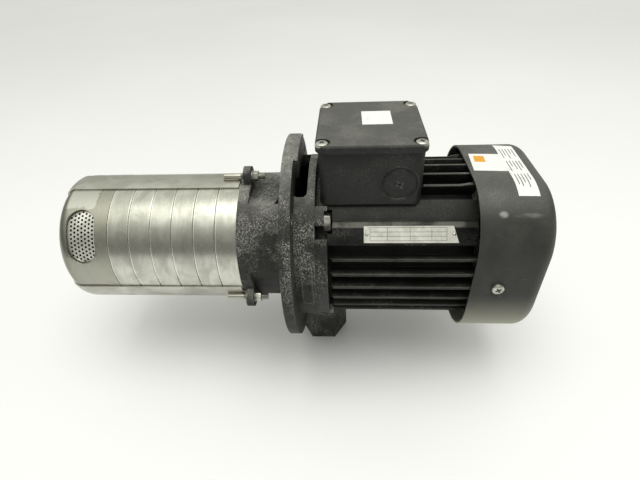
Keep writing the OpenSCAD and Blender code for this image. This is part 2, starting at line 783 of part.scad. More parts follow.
module flange_screws() {
    color(bright_steel) for (a = motor_angles) at_angle(a) translate([0, -motor_screw_c, 0])
        rotate([0, 90, 0]) union() {
            translate([0, 0, screw_seat_x]) cylinder(r = screw_head_af / 2 / cos(30), h = screw_head_h, $fn = 6);
            translate([0, 0, stool_l - stool_ring_t])
                cylinder(r = motor_screw_r, h = screw_seat_x - stool_l + stool_ring_t + fuse, $fn = 32);
        }
}
module frame_screw(x_head, toward) {
    translate([x_head, 0, 0]) rotate([0, toward > 0 ? 90 : -90, 0]) union() {
        translate([0, 0, -frame_screw_head_h]) cylinder(r = frame_screw_head_r, h = frame_screw_head_h, $fn = 32);
        translate([0, 0, -fuse]) cylinder(r = frame_screw_r, h = frame_screw_l, $fn = 32);
    }
}
module frame_screws() {
    color(bright_steel) union() {
        for (a = drive_screw_angles) at_angle(a) translate([0, -frame_screw_pcd / 2, 0])
            frame_screw(motor_x0 + screw_depth, 1);
        for (a = fan_screw_angles) at_angle(a) translate([0, -frame_screw_pcd / 2, 0])
            frame_screw(frame_end + rear_plate_t, -1);
    }
}

// Motor frame: finned tube with smooth corners, a nameplate pad and a seat for the terminal box
fin_gap = 2;
fin_x0 = motor_x1 + fin_gap;
fin_end_gap = 5;
fin_end = frame_end - fin_end_gap;
fin_low_count = 10;
fin_low_a = -88.4;
fin_top_a = 91.5;
fin_top_gap = 2;
fin_top_x0 = box_x0 + box_l + fin_top_gap;
fin_ramp_l = 6;
fin_ramp_x = fin_end - fin_ramp_l;
fin_ramp_h = 1.5;
corner_a0 = 45.2;
seat_h = 1.5;
seat_z = frame_r + seat_h;
corner_a1 = asin(seat_z / fin_r);
pad_normal_a = 38;
plate_pad_share = 0.973;
plate_pad_r = fin_r * plate_pad_share;
plate_pad_z0 = -10;
plate_pad_z1 = 8.8;
mirror_a = 183;
seat_y = fin_r * cos(corner_a1);
duct_hole_r = 9;
module fin(a, x0, ramp) {
    at_angle(a) translate([0, 0, -fin_t / 2]) linear_extrude(fin_t) polygon([
        [x0, -frame_in_r - fin_t], [x0, -fin_r + fin_t], [x0 + fin_t, -fin_r], [fin_ramp_x, -fin_r],
        [fin_end, -fin_r - ramp], [frame_end + fin_t, -fin_r - ramp],
        [frame_end + fin_t / 2, -frame_r - fin_t], [frame_end - fin_t, -frame_r - fin_t / 2],
        [frame_end - fin_t, -frame_in_r - fin_t]
    ]);
}
module corner_block(sign) {
    a0 = sign > 0 ? corner_a0 : mirror_a - corner_a1;
    pad_a = sign > 0 ? pad_normal_a : mirror_a - pad_normal_a;
    z0 = sign > 0 ? plate_pad_z0 : -plate_pad_z1;
    intersection() {
        rod_x(motor_x1 + fuse / 2, frame_end - fuse, fin_r);
        union() {
            sector_x(motor_x1, frame_end, 2 * fin_r, a0, a0 + corner_a1 - corner_a0);
            at_angle(pad_a) translate([motor_x1, -plate_pad_r, z0])
                cube([frame_end - motor_x1, plate_pad_r - frame_in_r, plate_pad_z1 - plate_pad_z0]);
        }
    }
}
module stator_frame() {
    color(paint_black) difference() {
        union() {
            rod_x(motor_x1, frame_end, frame_r);
            for (k = [-fin_low_count : fin_low_count]) fin(fin_low_a + k * fin_step, fin_x0, 0);
            for (k = [-2 : 2]) fin(fin_top_a + k * fin_step, fin_top_x0, abs(k) > 1 ? fin_ramp_h : 0);
            corner_block(1);
            corner_block(-1);
            translate([motor_x1 + fuse, -seat_y - seat_gap * 3, frame_in_r + fin_t])
                cube([box_x0 + box_l - motor_x1 - fuse, 2 * (seat_y + seat_gap * 3), seat_z - frame_in_r - fin_t]);
        }
        rod_x(motor_x1 - overrun, frame_end + 2 * fin_t, frame_in_r);
        for (a = motor_angles) at_angle(a) translate([motor_x1 - overrun, -motor_screw_c, 0])
            rotate([0, 90, 0])
                cylinder(r = screw_pocket_r, h = screw_seat_x + screw_head_h - motor_x1 + 2 * overrun, $fn = 48);
        for (a = drive_screw_angles) at_angle(a) translate([motor_x1 - overrun, -frame_screw_pcd / 2, 0])
            rotate([0, 90, 0]) cylinder(r = frame_screw_r + screw_gap, h = frame_screw_l, $fn = 32);
        for (a = fan_screw_angles) at_angle(a) translate([frame_end + overrun, -frame_screw_pcd / 2, 0])
            rotate([0, -90, 0]) cylinder(r = frame_screw_r + screw_gap, h = frame_screw_l, $fn = 32);
        translate([box_x0 + box_l / 2, 0, 0]) cylinder(r = duct_hole_r, h = 2 * fin_r, $fn = 48);
    }
}
core_gap_front = 21;
core_x0 = motor_x1 + core_gap_front;
core_gap_rear = 22;
core_x1 = frame_end - core_gap_rear;
air_gap = 0.5;
core_bore_share = 0.62;
core_in_r = frame_in_r * core_bore_share;
module stator_core() {
    color(steel_grey) ring_x(core_x0, core_x1, core_in_r, frame_in_r - fit_gap);
}
module winding_ring(x0, x1) {
    r0 = core_in_r + winding_gap_in;
    r1 = frame_in_r - winding_gap_out;
    e = winding_edge;
    turn_x() union() {
        translate([r0, x0]) square([r1 - r0, (x1 - x0) / 2]);
        translate([r0 + e, x0]) square([r1 - r0 - 2 * e, x1 - x0]);
        for (r = [r0 + e, r1 - e]) translate([r, (x0 + x1) / 2]) circle(r = e, $fn = 32);
    }
}
winding_l = 12;
winding_gap_in = 3;
winding_gap_out = 4;
winding_edge = 3;
module windings() {
    color(copper_red) union() {
        winding_ring(core_x1, core_x1 + winding_l);
        mirror([1, 0, 0]) winding_ring(-core_x0, -core_x0 + winding_l);
    }
}
rotor_shaft_r = 12;
module rotor_core() {
    color(steel_grey) ring_x(core_x0, core_x1, rotor_shaft_r + fit_gap, core_in_r - air_gap);
}
module motor_shaft() {
    drive_end = drive_bearing_x + drive_bearing_w;
    fan_start = fan_bearing_x;
    color(bright_steel) union() {
        rod_x(coupling_mid + seat_gap, drive_bearing_x, motor_shaft_r);
        rod_x(drive_bearing_x - overrun, drive_end + fuse, drive_shaft_r);
        rod_x(drive_end, fan_start, rotor_shaft_r);
        rod_x(fan_start - fuse, fan_start + fan_bearing_w, fan_shaft_r);
        rod_x(fan_start, fan_x1 + overrun, fan_seat_r);
    }
}

// Ball bearings: two grooved rings, and the balls held in their cage
module bearing_outer(x0, w, r_out, r_pitch, ball_r) {
    shoulder = r_pitch + ball_r * 0.62;
    color(bright_steel) turn_x() difference() {
        translate([shoulder, x0]) square([r_out - shoulder - screw_gap, w]);
        translate([r_pitch, x0 + w / 2]) circle(r = ball_r + bearing_gap, $fn = 48);
    }
}
module bearing_inner(x0, w, r_in, r_pitch, ball_r) {
    shoulder = r_pitch - ball_r * 0.62;
    color(bright_steel) turn_x() difference() {
        translate([r_in + fit_gap, x0]) square([shoulder - r_in - fit_gap, w]);
        translate([r_pitch, x0 + w / 2]) circle(r = ball_r + bearing_gap, $fn = 48);
    }
}
module bearing_cage(x0, w, r_pitch, ball_r) {
    balls = 8;
    cage_w = ball_r * 0.6;
    color(bright_steel) union() {
        ring_x(x0 + w / 2 - cage_w / 2, x0 + w / 2 + cage_w / 2, r_pitch - cage_w / 2, r_pitch + cage_w / 2);
        for (k = [0 : balls - 1]) at_angle(k * 360 / balls)
            translate([x0 + w / 2, -r_pitch, 0]) sphere(r = ball_r, $fn = 32);
    }
}
drive_pitch_r = 16.75;
drive_ball_r = 3.9;
fan_bearing_w = 11;
fan_bearing_r = 17.5;
fan_pitch_r = 12.5;
fan_ball_r = 2.9;
fan_shaft_r = 7.5;
fan_bearing_gap = 5;
fan_bearing_x = frame_end - fan_bearing_gap;

// Rear end shield: closes the motor and carries the fan cover on three arms
rear_plate_t = 6;
rear_hub_r = 21;
arm_w = 14;
arm_t = 11;
cover_screw_gap = 19.8;
cover_screw_x = cover_x0 + cover_screw_gap;
cover_screw_r = 2.5;
cover_head_r = 4.8;
cover_head_h = 2.8;
cover_in_w = cover_w / 2 - cover_wall;
cover_screw_angles = [0, 180, 270];
module rear_end_shield() {
    hub_x1 = fan_bearing_x + fan_bearing_w + overrun;
    color(cast_black) difference() {
        union() {
            ring_x(frame_end, frame_end + rear_plate_t, fan_shaft_r + overrun, frame_r);
            ring_x(fan_bearing_x, hub_x1, fan_shaft_r + overrun, rear_hub_r);
            ring_x(frame_end - register_l, frame_end + fuse, frame_in_r - register_t, frame_in_r - screw_gap);
            for (a = cover_screw_angles) at_angle(a) {
                translate([frame_end + rear_plate_t - fuse, -frame_r, -arm_w / 2])
                    cube([cover_screw_x - frame_end - rear_plate_t + arm_w / 2, arm_t, arm_w]);
                translate([cover_screw_x - arm_w / 2, -cover_in_w + seat_gap, -arm_w / 2])
                    cube([arm_w, cover_in_w - seat_gap - frame_r + arm_t, arm_w]);
            }
        }
        rod_x(fan_bearing_x - overrun, fan_bearing_x + fan_bearing_w, fan_bearing_r);
        for (a = cover_screw_angles) at_angle(a) translate([cover_screw_x, 0, 0])
            rod_front(frame_r - arm_t - overrun, cover_w, cover_screw_r + screw_gap);
        for (a = fan_screw_angles) at_angle(a) translate([frame_end - overrun, -frame_screw_pcd / 2, 0])
            rotate([0, 90, 0])
                cylinder(r = frame_screw_r + seat_gap, h = rear_plate_t + 2 * overrun, $fn = 32);
    }
}

// Cooling fan on the shaft end, under a cover with a slotted rear wall
fan_gap_front = 28;
fan_x0 = cover_x0 + fan_gap_front;
fan_gap_rear = 12;
fan_x1 = cover_x1 - fan_gap_rear;
fan_seat_r = 6;
fan_hub_r = 13;
fan_blades = 7;
fan_blade_t = 2;
module cooling_fan() {
    color(seal_black) difference() {
        union() {
            rod_x(fan_x0, fan_x1, fan_hub_r);
            rod_x(fan_x0 + fan_blade_t, fan_x0 + 2 * fan_blade_t, fan_d * 0.38);
            for (k = [0 : fan_blades - 1]) at_angle(k * 360 / fan_blades)
                translate([fan_x0 + fan_blade_t, -fan_d / 2, -fan_blade_t / 2])
                    cube([fan_x1 - fan_x0 - fan_blade_t, fan_d / 2 - fan_hub_r / 2, fan_blade_t]);
        }
        rod_x(fan_x0 - overrun, fan_x1 + overrun, fan_seat_r + fit_gap);
    }
}
module can_section(x0, x1, half, edge) {
    translate([x0, -half]) square([x1 - edge - x0, 2 * half]);
    translate([x0, -half + edge]) square([x1 - x0, 2 * (half - edge)]);
    for (s = [-1, 1]) translate([x1 - edge, s * (half - edge)]) circle(r = edge, $fn = 48);
}
// A can of rounded square section with a rounded rear edge
module square_can(x0, x1, half, corner, edge) {
    flat = half - corner;
    translate([0, 0, -flat]) linear_extrude(2 * flat) can_section(x0, x1, half, edge);
    rotate([90, 0, 0]) translate([0, 0, -flat]) linear_extrude(2 * flat) can_section(x0, x1, half, edge);
    for (sy = [-1, 1], sz = [-1, 1]) translate([0, sy * flat, sz * flat]) turn_x() intersection() {
        rotate([0, 0, 90]) mirror([0, 1]) can_section(x0, x1, corner, edge);
        translate([0, x0]) square([corner, x1 - x0]);
    }
}
slot_gap_w = 3.6;
slot_step = 7.6;
slot_first_r = 14;
spoke_w = 5;
slot_reach = cover_w / 2 - cover_edge - slot_first_r - slot_gap_w;
slot_rings = floor(slot_reach / slot_step) + 1;
module cover_slots() {
    difference() {
        for (k = [0 : slot_rings - 1]) {
            r = slot_first_r + k * slot_step;
            ring_x(cover_x1 - 3 * cover_wall, cover_x1 + overrun, r, r + slot_gap_w);
        }
        for (a = [0 : 45 : 135]) at_angle(a + 22.5)
            translate([cover_x1 - 4 * cover_wall, -cover_w, -spoke_w / 2])
                cube([6 * cover_wall, 2 * cover_w, spoke_w]);
    }
}
module fan_cover() {
    half = cover_w / 2;
    color(cover_grey) difference() {
        square_can(cover_x0, cover_x1, half, cover_corner, cover_edge);
        square_can(cover_x0 - overrun, cover_x1 - cover_wall, half - cover_wall,
            cover_corner - cover_wall, cover_edge - cover_wall);
        cover_slots();
        for (a = cover_screw_angles) at_angle(a) translate([cover_screw_x, 0, 0])
            rod_front(half - 2 * cover_wall, half + overrun, cover_screw_r + run_gap);
    }
}
module cover_screws() {
    color(bright_steel) for (a = cover_screw_angles) at_angle(a) translate([cover_screw_x, 0, 0]) union() {
        rod_front(cover_w / 2, cover_w / 2 + cover_head_h, cover_head_r);
        rod_front(frame_r - arm_t, cover_w / 2 + fuse, cover_screw_r);
    }
}

// Terminal box with gasket and lid, and the terminal board inside
box_x1 = box_x0 + box_l;
box_z0 = seat_z + fit_gap;
box_z1 = box_z0 + box_h;
box_corner = 6;
box_mid_x = box_x0 + box_l / 2;
gasket_t = 0.9;
lid_z0 = box_z1 + gasket_t;
lid_corner = box_corner + lid_lip;
lid_bevel = 1.4;
lid_plate_t = 2.4;
box_screw_inset = 3.1;
box_screw_inset_y = 5.3;
box_screw_r = 2;
box_head_r = 4.7;
box_head_h = 2.6;
box_head_recess = 2.4;
lid_recess_gap = 1.3;
box_screw_l = 16;
box_column_r = 4.6;
knockout_inset = 58.4;
knockout_x = box_x0 + knockout_inset;
knockout_rise = 17.1;
knockout_z = box_z0 + knockout_rise;
knockout_depth = 1.2;
board_l = 33;
board_w = 30;
board_h = 7;
module rounded_rect(l, w, r) {
    square([l - 2 * r, w], center = true);
    square([l, w - 2 * r], center = true);
    for (sx = [-1, 1], sy = [-1, 1]) translate([sx * (l / 2 - r), sy * (w / 2 - r)]) circle(r = r, $fn = 48);
}
function box_screw_places() = [
    for (sx = [-1, 1], sy = [-1, 1])
        [box_mid_x + sx * (box_l / 2 - box_screw_inset), sy * (box_w / 2 - box_screw_inset_y)]
];
module box_ring(z0, h, wall) {
    translate([0, 0, z0]) linear_extrude(h) difference() {
        translate([box_mid_x, 0]) rounded_rect(box_l, box_w, box_corner);
        difference() {
            translate([box_mid_x, 0]) rounded_rect(box_l - 2 * wall, box_w - 2 * wall, box_corner - wall);
            for (p = box_screw_places()) translate(p) circle(r = box_column_r, $fn = 48);
        }
        for (p = box_screw_places()) translate(p) circle(r = box_screw_r + screw_gap, $fn = 32);
    }
}
module terminal_box() {
    color(box_grey) difference() {
        union() {
            box_ring(box_z0 + box_wall - fuse, box_h - box_wall + fuse, box_wall);
            translate([box_mid_x, 0, box_z0]) linear_extrude(box_wall) rounded_rect(box_l, box_w, box_corner);
        }
        translate([box_mid_x, 0, box_z0 - overrun])
            cylinder(r = duct_hole_r, h = box_wall + 2 * overrun, $fn = 48);
        for (s = [-1, 1])
            translate([knockout_x, s * (box_w / 2 - knockout_depth / 2 + overrun / 2), knockout_z])
                rotate([90, 0, 0])
                    cylinder(r = knockout_d / 2, h = knockout_depth + overrun, center = true, $fn = 64);
    }
}
module box_gasket() {
    color(seal_black) box_ring(box_z1, gasket_t, box_wall - screw_gap);
}
module box_lid() {
    l = box_l + 2 * lid_lip;
    w = box_w + 2 * lid_lip;
    color(box_grey) difference() {
        hull() for (sx = [-1, 1], sy = [-1, 1])
            translate([box_mid_x + sx * (l / 2 - lid_corner), sy * (w / 2 - lid_corner), lid_z0]) {
                cylinder(r = lid_corner, h = lid_h - lid_bevel, $fn = 32);
                cylinder(r = lid_corner - lid_bevel, h = lid_h, $fn = 32);
            }
        translate([box_mid_x, 0, lid_z0 - overrun]) linear_extrude(lid_h - lid_plate_t + overrun) difference() {
            rounded_rect(box_l - 2 * box_wall, box_w - 2 * box_wall, box_corner - box_wall);
            for (p = box_screw_places()) translate([p[0] - box_mid_x, p[1]])
                circle(r = box_column_r + box_wall, $fn = 32);
        }
        for (p = box_screw_places()) translate([p[0], p[1], 0]) {
            translate([0, 0, lid_z0 - overrun])
                cylinder(r = box_screw_r + run_gap, h = lid_h + 2 * overrun, $fn = 32);
            translate([0, 0, lid_z0 + lid_h - box_head_recess])
                cylinder(r = box_head_r + lid_recess_gap, h = lid_h, $fn = 48);
        }
    }
}
module lid_screws() {
    z = lid_z0 + lid_h - box_head_recess;
    color(bright_steel) for (p = box_screw_places()) translate([p[0], p[1], z]) union() {
        cylinder(r = box_head_r, h = box_head_h, $fn = 48);
        translate([0, 0, -box_screw_l]) cylinder(r = box_screw_r, h = box_screw_l + fuse, $fn = 32);
    }
}
module terminal_board() {
    z = box_z0 + box_wall;
    color(seal_black) difference() {
        translate([box_mid_x + duct_hole_r + seat_gap, -board_w / 2, z])
            cube([board_l - duct_hole_r, board_w, board_h]);
        for (p = terminal_places()) translate([p[0], p[1], z - overrun])
            cylinder(r = terminal_r + screw_gap, h = board_h + 2 * overrun, $fn = 32);
    }
}
terminal_r = 2;
terminal_step = 10;
terminal_l = 16;
terminal_nut_af = 7;
terminal_nut_h = 3.2;
function terminal_places() = [
    for (i = [0, 1], k = [-1 : 1])
        [box_mid_x + duct_hole_r + seat_gap + (board_l - duct_hole_r) / 2 + (i - 0.5) * 1.4 * terminal_step,
         k * terminal_step]
];
module terminal_studs() {
    z = box_z0 + box_wall;
    color(bright_steel) for (p = terminal_places()) translate([p[0], p[1], z]) union() {
        cylinder(r = terminal_r, h = terminal_l, $fn = 32);
        translate([0, 0, board_h]) cylinder(r = terminal_nut_af / 2 / cos(30), h = terminal_nut_h, $fn = 6);
    }
}

// Nameplate on the flat pad of the motor frame, left blank
nameplate_t = 0.6;
nameplate_gap = 27.8;
nameplate_x0 = motor_x1 + nameplate_gap;
nameplate_l_top = 66.8;
nameplate_l_bottom = 70.6;
nameplate_z0 = -8.2;
nameplate_z1 = 4.6;
module nameplate() {
    color(bright_steel) at_angle(pad_normal_a) translate([0, -plate_pad_r, 0]) rotate([90, 0, 0])
        linear_extrude(nameplate_t) polygon([
            [nameplate_x0, nameplate_z0], [nameplate_x0 + nameplate_l_bottom, nameplate_z0],
            [nameplate_x0 + nameplate_l_top, nameplate_z1], [nameplate_x0, nameplate_z1]
        ]);
}

pump_head();
mounting_flange();
motor_stool();
discharge_boss();
strainer_housing();
strainer_screen();
inlet_bush();
chamber(1);  // chamber_1
chamber(2);  // chamber_2
chamber(3);  // chamber_3
chamber(4);  // chamber_4
chamber(5);  // chamber_5
chamber(6);  // chamber_6
neck_rings();
strap(1);  // strap_1
strap(2);  // strap_2
strap(3);  // strap_3
strap_washers();
strap_nuts();
pump_shaft();
impeller(1);  // impeller_1
impeller(2);  // impeller_2
impeller(3);  // impeller_3
impeller(4);  // impeller_4
impeller(5);  // impeller_5
impeller(6);  // impeller_6
impeller_spacers();
shaft_nut();
seal_seat();
seal_head();
seal_bellows();
coupling_half(-1);  // coupling_half_1
coupling_half(1);  // coupling_half_2
coupling_screws();
motor_flange();
flange_screws();
stator_frame();
frame_screws();
stator_core();
windings();
rotor_core();
motor_shaft();
bearing_outer(drive_bearing_x, drive_bearing_w, drive_bearing_r, drive_pitch_r, drive_ball_r);  // drive_bearing_outer
bearing_inner(drive_bearing_x, drive_bearing_w, drive_shaft_r, drive_pitch_r, drive_ball_r);  // drive_bearing_inner
bearing_cage(drive_bearing_x, drive_bearing_w, drive_pitch_r, drive_ball_r);  // drive_bearing_cage
bearing_outer(fan_bearing_x, fan_bearing_w, fan_bearing_r, fan_pitch_r, fan_ball_r);  // fan_bearing_outer
bearing_inner(fan_bearing_x, fan_bearing_w, fan_shaft_r, fan_pitch_r, fan_ball_r);  // fan_bearing_inner
bearing_cage(fan_bearing_x, fan_bearing_w, fan_pitch_r, fan_ball_r);  // fan_bearing_cage
rear_end_shield();
cooling_fan();
fan_cover();
cover_screws();
terminal_box();
box_gasket();
box_lid();
lid_screws();
terminal_board();
terminal_studs();
nameplate();
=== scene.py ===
"""Looks of an immersion coolant pump that lies on a pale table, standing on its discharge port.

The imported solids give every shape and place. This script gives them their finishes: stained
stainless sheet on the pump stack, dusty cast iron on the head, semi-matt paint on the finned motor
and grey paint on the fan cover. It also models the small things that the solids leave out: screw
recesses, stud threads, weld beads, the knock-out plug, labels and the lines on the nameplate.
"""
import json
import math

import bmesh
import bpy
from mathutils import Matrix, Vector

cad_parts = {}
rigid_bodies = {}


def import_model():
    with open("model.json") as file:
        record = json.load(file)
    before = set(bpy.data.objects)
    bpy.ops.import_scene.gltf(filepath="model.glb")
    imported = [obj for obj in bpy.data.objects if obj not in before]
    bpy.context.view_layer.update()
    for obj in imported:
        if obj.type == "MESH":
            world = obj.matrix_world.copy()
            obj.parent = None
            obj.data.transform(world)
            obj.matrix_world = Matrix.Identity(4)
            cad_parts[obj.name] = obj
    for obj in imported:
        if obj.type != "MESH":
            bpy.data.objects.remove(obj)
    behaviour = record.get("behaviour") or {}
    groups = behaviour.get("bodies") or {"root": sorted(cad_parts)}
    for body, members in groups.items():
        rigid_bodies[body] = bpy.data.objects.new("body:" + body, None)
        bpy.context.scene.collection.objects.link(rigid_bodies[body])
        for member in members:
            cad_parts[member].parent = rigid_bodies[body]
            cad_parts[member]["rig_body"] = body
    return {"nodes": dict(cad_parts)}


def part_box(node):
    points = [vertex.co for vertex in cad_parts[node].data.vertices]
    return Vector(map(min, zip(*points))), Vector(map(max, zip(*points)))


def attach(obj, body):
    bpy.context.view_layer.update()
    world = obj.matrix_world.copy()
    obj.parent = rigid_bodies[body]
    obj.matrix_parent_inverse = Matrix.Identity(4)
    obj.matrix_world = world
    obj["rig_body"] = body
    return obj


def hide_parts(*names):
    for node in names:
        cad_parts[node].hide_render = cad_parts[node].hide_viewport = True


bl_info = {
    "name": "Immersion coolant pump looks",
    "version": (1, 0, 0),
    "blender": (4, 5, 0),
    "location": "View3D > Sidebar > Coolant pump",
    "description": "Finishes and fine detail for the packed immersion coolant pump",
    "category": "Object",
}

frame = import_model()
NODES = frame["nodes"]

# Places on the pump, in metres. X runs along the shaft, and the tank side face of the flange is at
# X = 0. Angles are degrees round the shaft, 0 at the front, towards -Y, and 90 at the top.
STRAP_ANGLES = [92.0, -28.0, 212.0]
STUD_DISTANCE = 0.0599  # from the shaft to the middle of a stud
STUD_PITCH = 0.0008
HEAD_RADIUS = 0.0565
COVER_FLAT = 0.023  # half the flat of each cover side
COVER_CORNER = 0.047  # radius of the cover's corners
MOTOR_SCREW_ANGLES = [45.0, 135.0, 225.0, 315.0]
MOTOR_SCREW_DISTANCE = 0.065  # from the shaft to the middle of a screw
PLATE_ANGLE = 38.0
PLATE_FACE = 0.06646 + 0.0006  # from the shaft to the pad, and the nameplate's own thickness
FLOOR_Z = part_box("discharge_boss")[0].z
CAMERA_PLACE = (0.05082, -0.30773, 0.23332)
CAMERA_TURN = (52.028, 2.547, 3.077)  # degrees

# The labels: (x, y) corners on the lid, and on the cover the ends (x, y, x, y) of each two sides.
LID_LABEL = [(0.0604, 0.0200), (0.0607, -0.0060), (0.0835, -0.0060), (0.0832, 0.0200)]
FRONT_LABEL = [(0.1492, 0.0165, 0.1476, -0.0118), (0.1735, 0.0150, 0.1730, -0.0135)]
FRONT_PATCH = [(0.1522, 0.0128, 0.1512, 0.0023), (0.1603, 0.0120, 0.1597, 0.0016)]
REAR_LABEL = [(0.1733, 0.0340, 0.1730, -0.0425), (0.1878, 0.0305, 0.1880, -0.0428)]

SHARP_ANGLE = math.radians(28.0)  # edges of the solids sharper than this are rounded
SPECKS_PER_METRE = 420.0


# Materials

class Nodes:
    """A short way to add shader nodes to a tree and to join them."""

    def __init__(self, tree):
        self.tree = tree

    def add(self, kind, **settings):
        """A new node of a kind, with its settings."""
        node = self.tree.nodes.new(kind)
        for name, value in settings.items():
            setattr(node, name, value)
        return node

    def join(self, source, target):
        self.tree.links.new(source, target)

    def feed(self, socket, value):
        """Joins a socket to another one, or gives it a plain value."""
        if isinstance(value, bpy.types.NodeSocket):
            self.join(value, socket)
        else:
            socket.default_value = value

    def math(self, operation, a, b=0.0, clamp=False):
        node = self.add("ShaderNodeMath", operation=operation, use_clamp=clamp)
        for socket, value in zip(node.inputs, (a, b)):
            self.feed(socket, value)
        return node.outputs[0]

    def times(self, a, b, clamp=False):
        return self.math("MULTIPLY", a, b, clamp)

    def plus(self, a, b, clamp=False):
        return self.math("ADD", a, b, clamp)

    def rest(self, share):
        """What a share leaves of 1."""
        return self.math("SUBTRACT", 1.0, share)

    def mix(self, factor, a, b):
        """Colour a, or colour b where the factor is 1."""
        node = self.add("ShaderNodeMix", data_type="RGBA")
        self.feed(node.inputs[0], factor)
        self.feed(node.inputs[6], a)
        self.feed(node.inputs[7], b)
        return node.outputs[2]

    def noise(self, vector, density, detail, rough, distortion=0.0):
        """Noise with so many waves to the metre, one number for all axes or one for each."""
        scale = density if isinstance(density, tuple) else (density,) * 3
        place = self.stretch(vector, scale)
        node = self.add("ShaderNodeTexNoise")
        self.join(place, node.inputs["Vector"])
        node.inputs["Scale"].default_value = 1.0
        node.inputs["Detail"].default_value = detail
        node.inputs["Roughness"].default_value = rough
        node.inputs["Distortion"].default_value = distortion
        return node.outputs["Fac"]

    def step(self, value, low, high, out_low=0.0, out_high=1.0):
        """A smooth rise from out_low to out_high while the value goes from low to high."""
        node = self.add("ShaderNodeMapRange", interpolation_type="SMOOTHSTEP")
        for socket, number in zip(node.inputs, (value, low, high, out_low, out_high)):
            self.feed(socket, number)
        return node.outputs[0]

    def band(self, value, rise, fall):
        """1 between two edges, each given as where it starts and where it ends."""
        return self.times(self.step(value, *rise), self.step(value, *fall))

    def stretch(self, vector, scale, shift=(0.0, 0.0, 0.0)):
        node = self.add("ShaderNodeMapping")
        self.join(vector, node.inputs["Vector"])
        node.inputs["Location"].default_value = shift
        node.inputs["Scale"].default_value = scale
        return node.outputs[0]

    def split(self, vector):
        node = self.add("ShaderNodeSeparateXYZ")
        self.join(vector, node.inputs[0])
        return node.outputs

    def bump(self, height, strength, distance, normal=None):
        node = self.add("ShaderNodeBump")
        node.inputs["Strength"].default_value = strength
        node.inputs["Distance"].default_value = distance
        self.join(height, node.inputs["Height"])
        if normal is not None:
            self.join(normal, node.inputs["Normal"])
        return node.outputs[0]


def new_group(name, inputs, outputs):
    """A node group with named sockets, each a float ("f") or a vector ("v")."""
    tree = bpy.data.node_groups.new(name, "ShaderNodeTree")
    kinds = {"f": "NodeSocketFloat", "v": "NodeSocketVector"}
    for label, kind, value in inputs:
        socket = tree.interface.new_socket(label, in_out="INPUT", socket_type=kinds[kind])
        if value is not None:
            socket.default_value = value
    for label, kind in outputs:
        tree.interface.new_socket(label, in_out="OUTPUT", socket_type=kinds[kind])
    n = Nodes(tree)
    return tree, n, n.add("NodeGroupInput").outputs, n.add("NodeGroupOutput").inputs


def build_edge_group():
    """Rounded edge normal, and a mask that is 1 along the outer edges and 0 elsewhere, for worn edges and,
    in some finishes, a painted highlight along them.
    """
    tree, n, inp, out = new_group(
        "edge_wear_and_glint",
        [("Vector", "v", None), ("Radius", "f", 0.0006), ("Amount", "f", 0.5)],
        [("Mask", "f"), ("Normal", "v")])
    bevel = n.add("ShaderNodeBevel", samples=4)
    n.join(inp["Radius"], bevel.inputs["Radius"])
    geometry = n.add("ShaderNodeNewGeometry")
    dot = n.add("ShaderNodeVectorMath", operation="DOT_PRODUCT")
    n.join(bevel.outputs[0], dot.inputs[0])
    n.join(geometry.outputs["Normal"], dot.inputs[1])
    edge = n.step(dot.outputs["Value"], 0.985, 0.86)
    patches = n.noise(inp["Vector"], 90.0, 5.0, 0.65)
    worn = n.step(patches, 0.62, 0.42, 0.15, 1.0)
    n.join(n.times(n.times(edge, worn), inp["Amount"], clamp=True), out["Mask"])
    n.join(bevel.outputs[0], out["Normal"])
    return tree


def build_dust_group():
    """Pale dust: an even film on faces that look up, thinner on slopes, with single white specks."""
    tree, n, inp, out = new_group(
        "dust_film",
        [("Vector", "v", None), ("Film", "f", 0.3), ("Specks", "f", 0.4),
         ("Speck Scale", "f", SPECKS_PER_METRE)],
        [("Mask", "f"), ("Specks", "f")])
    geometry = n.add("ShaderNodeNewGeometry")
    up = n.split(geometry.outputs["Normal"])[2]
    patches = n.noise(inp["Vector"], 40.0, 6.0, 0.62)
    patch = n.step(patches, 0.40, 0.68)
    fine = n.noise(inp["Vector"], 900.0, 3.0, 0.6)
    lying = n.times(n.step(up, 0.6, 0.98), n.plus(n.times(patch, 0.35), 0.65))
    sloped = n.times(n.step(up, -0.2, 0.8, 0.0, 0.22), patch)
    film = n.times(n.math("MAXIMUM", lying, sloped), n.step(fine, 0.35, 0.7, 0.55, 1.0))
    n.join(n.times(film, inp["Film"], clamp=True), out["Mask"])
    cells = n.add("ShaderNodeTexVoronoi")
    scale = n.add("ShaderNodeVectorMath", operation="SCALE")
    n.join(inp["Vector"], scale.inputs[0])
    n.join(inp["Speck Scale"], scale.inputs["Scale"])
    n.join(scale.outputs[0], cells.inputs["Vector"])
    size = n.split(cells.outputs["Color"])[0]
    reach = n.times(n.step(size, 0.5, 1.0), 0.54)
    speck = n.math("LESS_THAN", cells.outputs["Distance"], reach)
    gather = n.step(patches, 0.42, 0.58, 0.08, 1.0)
    speck = n.times(n.times(speck, gather), n.step(up, -0.5, 0.5, 0.15, 1.0))
    n.join(n.times(speck, inp["Specks"], clamp=True), out["Specks"])
    return tree


def build_cast_group():
    """A sand cast surface: its height in coarse waves and fine grains, the grains, and a cloudy tone."""
    tree, n, inp, out = new_group(
        "cast_grain", [("Vector", "v", None), ("Grain", "f", 1.0)],
        [("Height", "f"), ("Tone", "f"), ("Fine", "f")])
    coarse = n.noise(inp["Vector"], 160.0, 5.0, 0.6)
    fine = n.noise(inp["Vector"], 750.0, 3.0, 0.7)
    height = n.plus(n.times(coarse, 0.7), n.times(fine, 0.5))
    n.join(fine, out["Fine"])
    n.join(n.times(height, inp["Grain"]), out["Height"])
    n.join(n.noise(inp["Vector"], 60.0, 6.0, 0.6), out["Tone"])
    return tree


